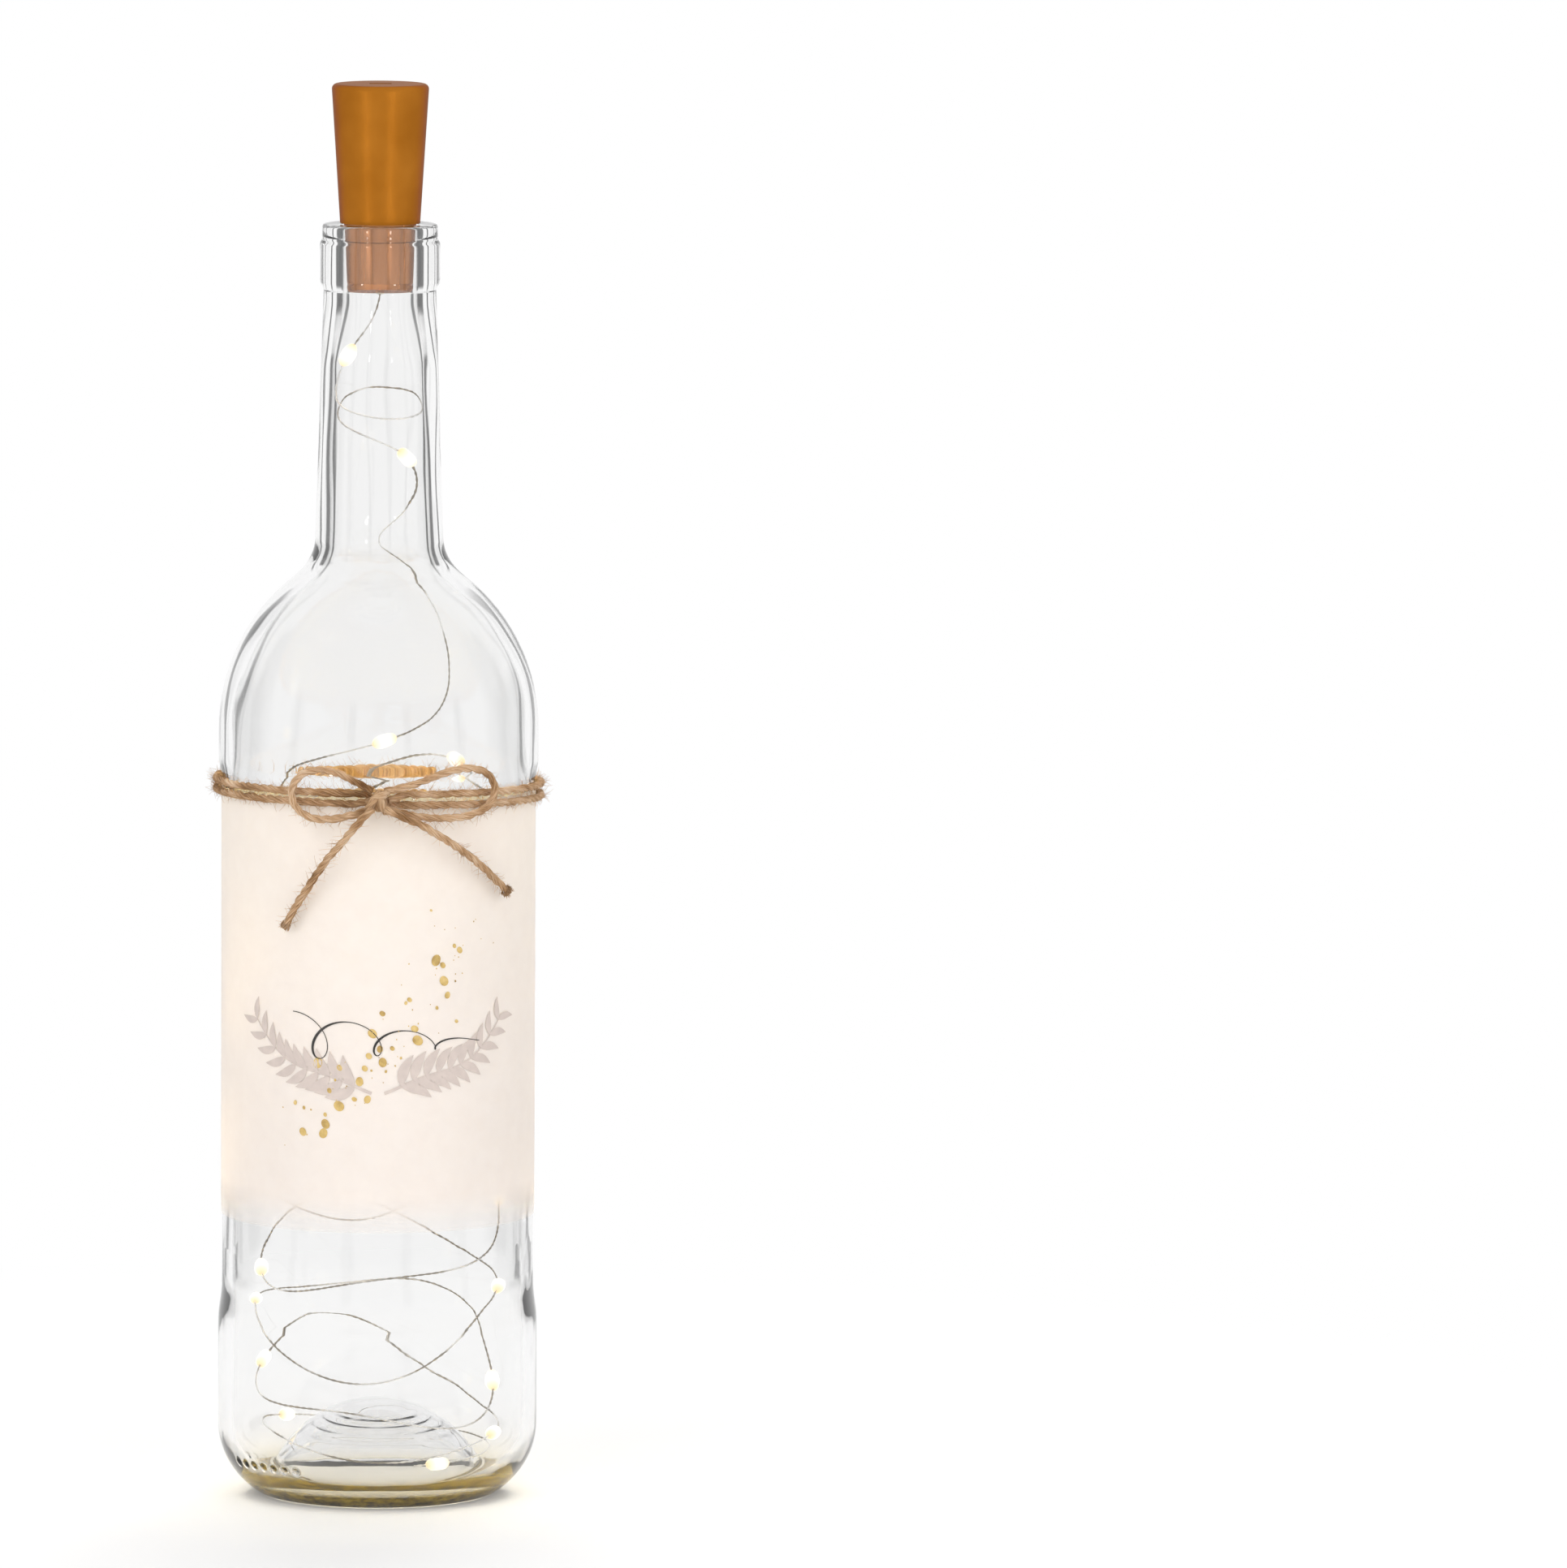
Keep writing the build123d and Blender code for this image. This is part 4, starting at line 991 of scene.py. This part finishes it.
def print_stroke(sheet, line, widths, kind):
    """A flat stroke along a line of the print, given its width at each point."""
    edges = []
    for i, (x, z) in enumerate(line):
        before, after = line[max(i - 1, 0)], line[min(i + 1, len(line) - 1)]
        dx, dz = after[0] - before[0], after[1] - before[1]
        long = hypot(dx, dz)
        nx, nz = -dz / long * widths[i] / 2, dx / long * widths[i] / 2
        edges.append([sheet.add(print_point(x + nx * k, z + nz * k)) for k in (1, 0, -1)])
    sheet.skin(edges, kind)


def print_leaf(sheet, x, z, heading, long, wide):
    """A pointed leaf from its stalk outwards."""
    line, widths = [], []
    for share in shares(LEAF_STEPS):
        bow = 0.1 * long * sin(pi * share)
        line.append((
            x + cos(heading) * long * share - sin(heading) * bow,
            z + sin(heading) * long * share + cos(heading) * bow,
        ))
        widths.append(max(wide * sin(pi * share**0.8) ** 0.9, 0.06))
    print_stroke(sheet, line, widths, 0)


def print_dot(sheet, x, z, size):
    """A splash of gold, a little out of round."""
    lobes = [chance.uniform(0.8, 1.15) for _ in range(4)]
    middle = sheet.add(print_point(x, z))
    ring = []
    for k in range(SPLASH_SIDES):
        turn = 2 * pi * k / SPLASH_SIDES
        uneven = 0.12 * lobes[0] * cos(turn + lobes[1] * 9) + 0.1 * lobes[2] * cos(2 * turn + lobes[3] * 9)
        out = size * (0.9 + uneven)
        ring.append(sheet.add(print_point(x + out * cos(turn), z + out * sin(turn))))
    for k in range(SPLASH_SIDES):
        sheet.face(middle, ring[k], ring[(k + 1) % SPLASH_SIDES], kind=1)


def make_print():
    """A swag of leaves, a pen flourish and splashes of gold."""
    sheet = Sheet()
    for side in (-1, 1):
        stem = []
        for share in shares(STEM_STEPS):
            stem.append((side * (1.5 + 31.5 * share), 99.5 + 17.0 * share**1.7 + 1.6 * sin(2 * pi * share)))
        print_stroke(sheet, stem, [0.75 - 0.45 * i / STEM_STEPS for i in range(STEM_STEPS + 1)], 0)
        for i in range(4, STEM_STEPS + 1, 3):
            (x, z), (before_x, before_z) = stem[i], stem[i - 1]
            lean = atan2(z - before_z, side * (x - before_x))
            small = 1 - 0.35 * i / STEM_STEPS
            for turn in (0.78, -0.78):
                heading = lean + turn
                if side < 0:
                    heading = pi - heading
                print_leaf(sheet, x, z, heading, LEAF_LENGTH * small, LEAF_WIDTH * small)
    flourish, widths = [], []
    for share in shares(FLOURISH_STEPS):
        turn = 2 * pi * FLOURISH_LOOPS * share
        flourish.append((
            -21.0 + 45.0 * share + 5.4 * (1 - 0.7 * share) * sin(turn),
            112.5 + 5.6 * (1 - share) ** 0.8 * cos(turn) - 1.5 * share,
        ))
        widths.append(0.2 + 0.55 * max(-sin(turn), 0.0) * (1 - 0.7 * share))
    print_stroke(sheet, flourish, widths, 2)
    for _ in range(SPLASHES):
        share = chance.random()
        x = 24.0 - 44.0 * share + chance.gauss(0, 3.6)
        z = 140.0 - 52.0 * share**0.8 + chance.gauss(0, 3.4)
        print_dot(sheet, x, z, 0.14 + 1.5 * chance.random() ** 4)
    piece = sheet.object("label_print", LEAF_INK, GOLD_INK, BLACK_INK)
    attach(piece, "bottle")


make_print()

# stopper and what is in it
CAD_FINISHES = (
    (STOPPER, "stopper_sleeve", "battery_carrier"),
    (metal("cell_steel", (0.52, 0.52, 0.52), (0.68, 0.68, 0.67), 0.26), "cell_cans", "cell_caps"),
    (moulding("gasket_nylon", (0.05, 0.05, 0.055), (0.09, 0.09, 0.095), 0.5), "cell_gaskets"),
    (
        metal("nickel", (0.5, 0.49, 0.46), (0.66, 0.65, 0.61), 0.3),
        "battery_spring", "negative_plate", "positive_plate",
    ),
    (
        moulding("switch_black", (0.012, 0.012, 0.013), (0.03, 0.03, 0.032), 0.42),
        "switch_housing", "switch_knob", "lead_negative",
    ),
    (
        metal("contact_brass", (0.55, 0.4, 0.16), (0.72, 0.54, 0.25), 0.3),
        "switch_wiper", "switch_terminals",
    ),
    (moulding("resistor_tan", (0.46, 0.31, 0.17), (0.56, 0.4, 0.24), 0.4), "resistor"),
    (moulding("lead_wire", (0.3, 0.02, 0.02), (0.4, 0.04, 0.03), 0.42), "lead_positive", "jumper_wire"),
    (moulding("seal_resin", (0.62, 0.58, 0.5), (0.74, 0.7, 0.62), 0.3), "wire_seal"),
)
for finish, *names in CAD_FINISHES:
    for name in names:
        nodes[name].material_slots[0].material = finish

SEAM_SIDES = 72
seam_turns = [2 * pi * k / SEAM_SIDES for k in range(SEAM_SIDES + 1)]
seam_ring = [Vector((SEAM_RADIUS * cos(turn), SEAM_RADIUS * sin(turn), SEAM)) * MM for turn in seam_turns]
seam_sheet = Sheet()
seam_sheet.tube(seam_ring, [0.2 * MM] * len(seam_ring), 8, capped=False)
seam_shade = moulding("seam_shadow", (0.08, 0.028, 0.006), (0.14, 0.05, 0.01), 0.5)
seam = seam_sheet.object("stopper_seam", seam_shade)
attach(seam, "core")


# floor, light and background
FLOOR_LEVEL = -0.0002
FLOOR_RADII, FLOOR_SIDES = (0.08, 0.18, 0.3, 0.42), 96
FLOOR_LIFT = 0.1
STOPPER_MIDDLE = (0, 0, 0.306)
STOPPER_SPOT = {"energy": 13.0, "shadow_soft_size": 0.13, "spot_size": radians(5.0), "spot_blend": 0.5}
LAMP_GLOW = (1.0, 0.84, 0.22)


def emission(tree, strength):
    return put(tree, "ShaderNodeEmission", {"Strength": strength}).outputs[0]


def floor_material():
    """White that takes the shadow near the bottle and fades into the background."""
    made, tree, shader, output = material("floor")
    place = object_place(tree)
    away = length_of(tree, place)
    edge = remap(tree, away, 0.16, 0.36, smooth=True)
    finish_with(tree, shader, Base_Color=(0.74, 0.74, 0.74, 1.0), Roughness=0.9, Specular_IOR_Level=0.0)
    seen = seen_rays(tree)
    lift = emission(tree, calc(tree, "MULTIPLY", seen, FLOOR_LIFT))
    lit = put(tree, "ShaderNodeAddShader", {0: shader.outputs[0], 1: lift}).outputs[0]
    far = mix_shaders(tree, seen, shader.outputs[0], emission(tree, seen))
    mixed = mix_shaders(tree, edge, lit, far)
    outside = remap(tree, away, 0.24, 0.3, smooth=True)
    hidden = calc(tree, "MULTIPLY", studio_flags(tree, axes_of(tree, place)), outside)
    show(tree, output, mix_shaders(tree, hidden, mixed, emission(tree, 0.0)))
    return made


def make_floor():
    """A round white floor."""
    sheet = Sheet()
    middle = sheet.add(Vector((0, 0, FLOOR_LEVEL)))
    rings = []
    for r in FLOOR_RADII:
        turns = [2 * pi * k / FLOOR_SIDES for k in range(FLOOR_SIDES)]
        rings.append([sheet.add(Vector((r * cos(turn), r * sin(turn), FLOOR_LEVEL))) for turn in turns])
    for k in range(FLOOR_SIDES):
        m = (k + 1) % FLOOR_SIDES
        sheet.face(middle, rings[0][k], rings[0][m])
        for first, last in zip(rings, rings[1:]):
            sheet.face(first[k], last[k], last[m], first[m])
    sheet.object("floor", floor_material())


def studio_flags(tree, axes):
    """How dark the studio's upright flags are in a direction, for rays that glass sends on."""
    heading = calc(tree, "ARCTAN2", axes["X"], axes["Y"])
    wave = calc(tree, "COSINE", calc(tree, "MULTIPLY", heading, 8.0))
    flag = remap(tree, wave, -0.8, -0.985, smooth=True)
    turned = calc(tree, "ABSOLUTE", heading)
    inner = remap(tree, turned, 0.7, 0.82, smooth=True)
    outer = remap(tree, turned, 1.45, 1.25, smooth=True)
    off_level = calc(tree, "ABSOLUTE", calc(tree, "ADD", axes["Z"], 0.15))
    near = remap(tree, off_level, 0.42, 0.26, high=0.86, smooth=True)
    broad = remap(tree, off_level, 0.55, 0.3, high=0.88, smooth=True)
    wide = calc(tree, "MULTIPLY", calc(tree, "MULTIPLY", inner, outer), near)
    both = calc(tree, "MAXIMUM", calc(tree, "MULTIPLY", flag, broad), wide)
    passed_on = put(tree, "ShaderNodeLightPath").outputs["Is Transmission Ray"]
    return calc(tree, "MULTIPLY", both, passed_on)


def seen_rays(tree):
    """1 for rays that look at the background, straight or by way of glass and gloss."""
    path = put(tree, "ShaderNodeLightPath").outputs
    either = calc(tree, "MAXIMUM", path["Is Camera Ray"], path["Is Glossy Ray"])
    return calc(tree, "MAXIMUM", either, path["Is Transmission Ray"])


def make_world():
    """White background, with the studio's dark flags between its white walls as glass shows them."""
    world = bpy.data.worlds.new("studio")
    world.use_nodes = True
    bpy.context.scene.world = world
    tree = world.node_tree
    tree.nodes.clear()
    axes = axes_of(tree, put(tree, "ShaderNodeTexCoord").outputs["Generated"])
    near_level = remap(tree, calc(tree, "ABSOLUTE", axes["Z"]), 0.8, 0.45, smooth=True)
    dark = calc(tree, "MULTIPLY", studio_flags(tree, axes), near_level)
    light, shown = (
        put(tree, "ShaderNodeBackground", {"Color": WHITE, "Strength": strength}).outputs[0]
        for strength in (0.78, calc(tree, "SUBTRACT", 1.0, dark))
    )
    show(tree, put(tree, "ShaderNodeOutputWorld"), mix_shaders(tree, seen_rays(tree), light, shown))


def add_light(kind, name, place, aim, mirrored=False, **settings):
    """A light that glass and gloss show only if it is mirrored."""
    data = bpy.data.lights.new(name, kind)
    for key, value in settings.items():
        setattr(data, key, value)
    light = add_object(name, data)
    light.location = place
    light.rotation_mode = "QUATERNION"
    light.rotation_quaternion = (Vector(aim) - Vector(place)).to_track_quat("-Z", "Y")
    light.visible_camera = False
    light.visible_transmission = light.visible_glossy = mirrored


make_floor()
make_world()
for name, place, height, wide, high, power in (
    ("key_left", (-0.9, -1.25, 0.75), 0.17, 1.3, 1.8, 11.5),
    ("key_right", (0.95, -1.15, 0.65), 0.17, 1.2, 1.7, 8.7),
    ("back_top", (0.1, 0.9, 1.3), 0.15, 0.8, 0.8, 9.0),
):
    add_light("AREA", name, place, (0, 0, height), shape="RECTANGLE", size=wide, size_y=high, energy=power)
# warm light of the lamps near the top of the coil, on the far side of the twine
for name, place, power in (
    ("lamp_glow_left", (-0.014, 0.023, 0.1735), 0.022), ("lamp_glow_right", (0.01, 0.024, 0.1735), 0.03),
):
    add_light("POINT", name, place, (0, 0, 0), energy=power, color=LAMP_GLOW, shadow_soft_size=0.002)
# soft spots on the stopper alone
for name, place in (("spot_left", (-0.57, -0.82, 0.05)), ("spot_right", (0.48, -0.88, 0.05))):
    add_light("SPOT", name, place, STOPPER_MIDDLE, True, **STOPPER_SPOT)
bpy.context.scene.view_settings.view_transform = "Standard"
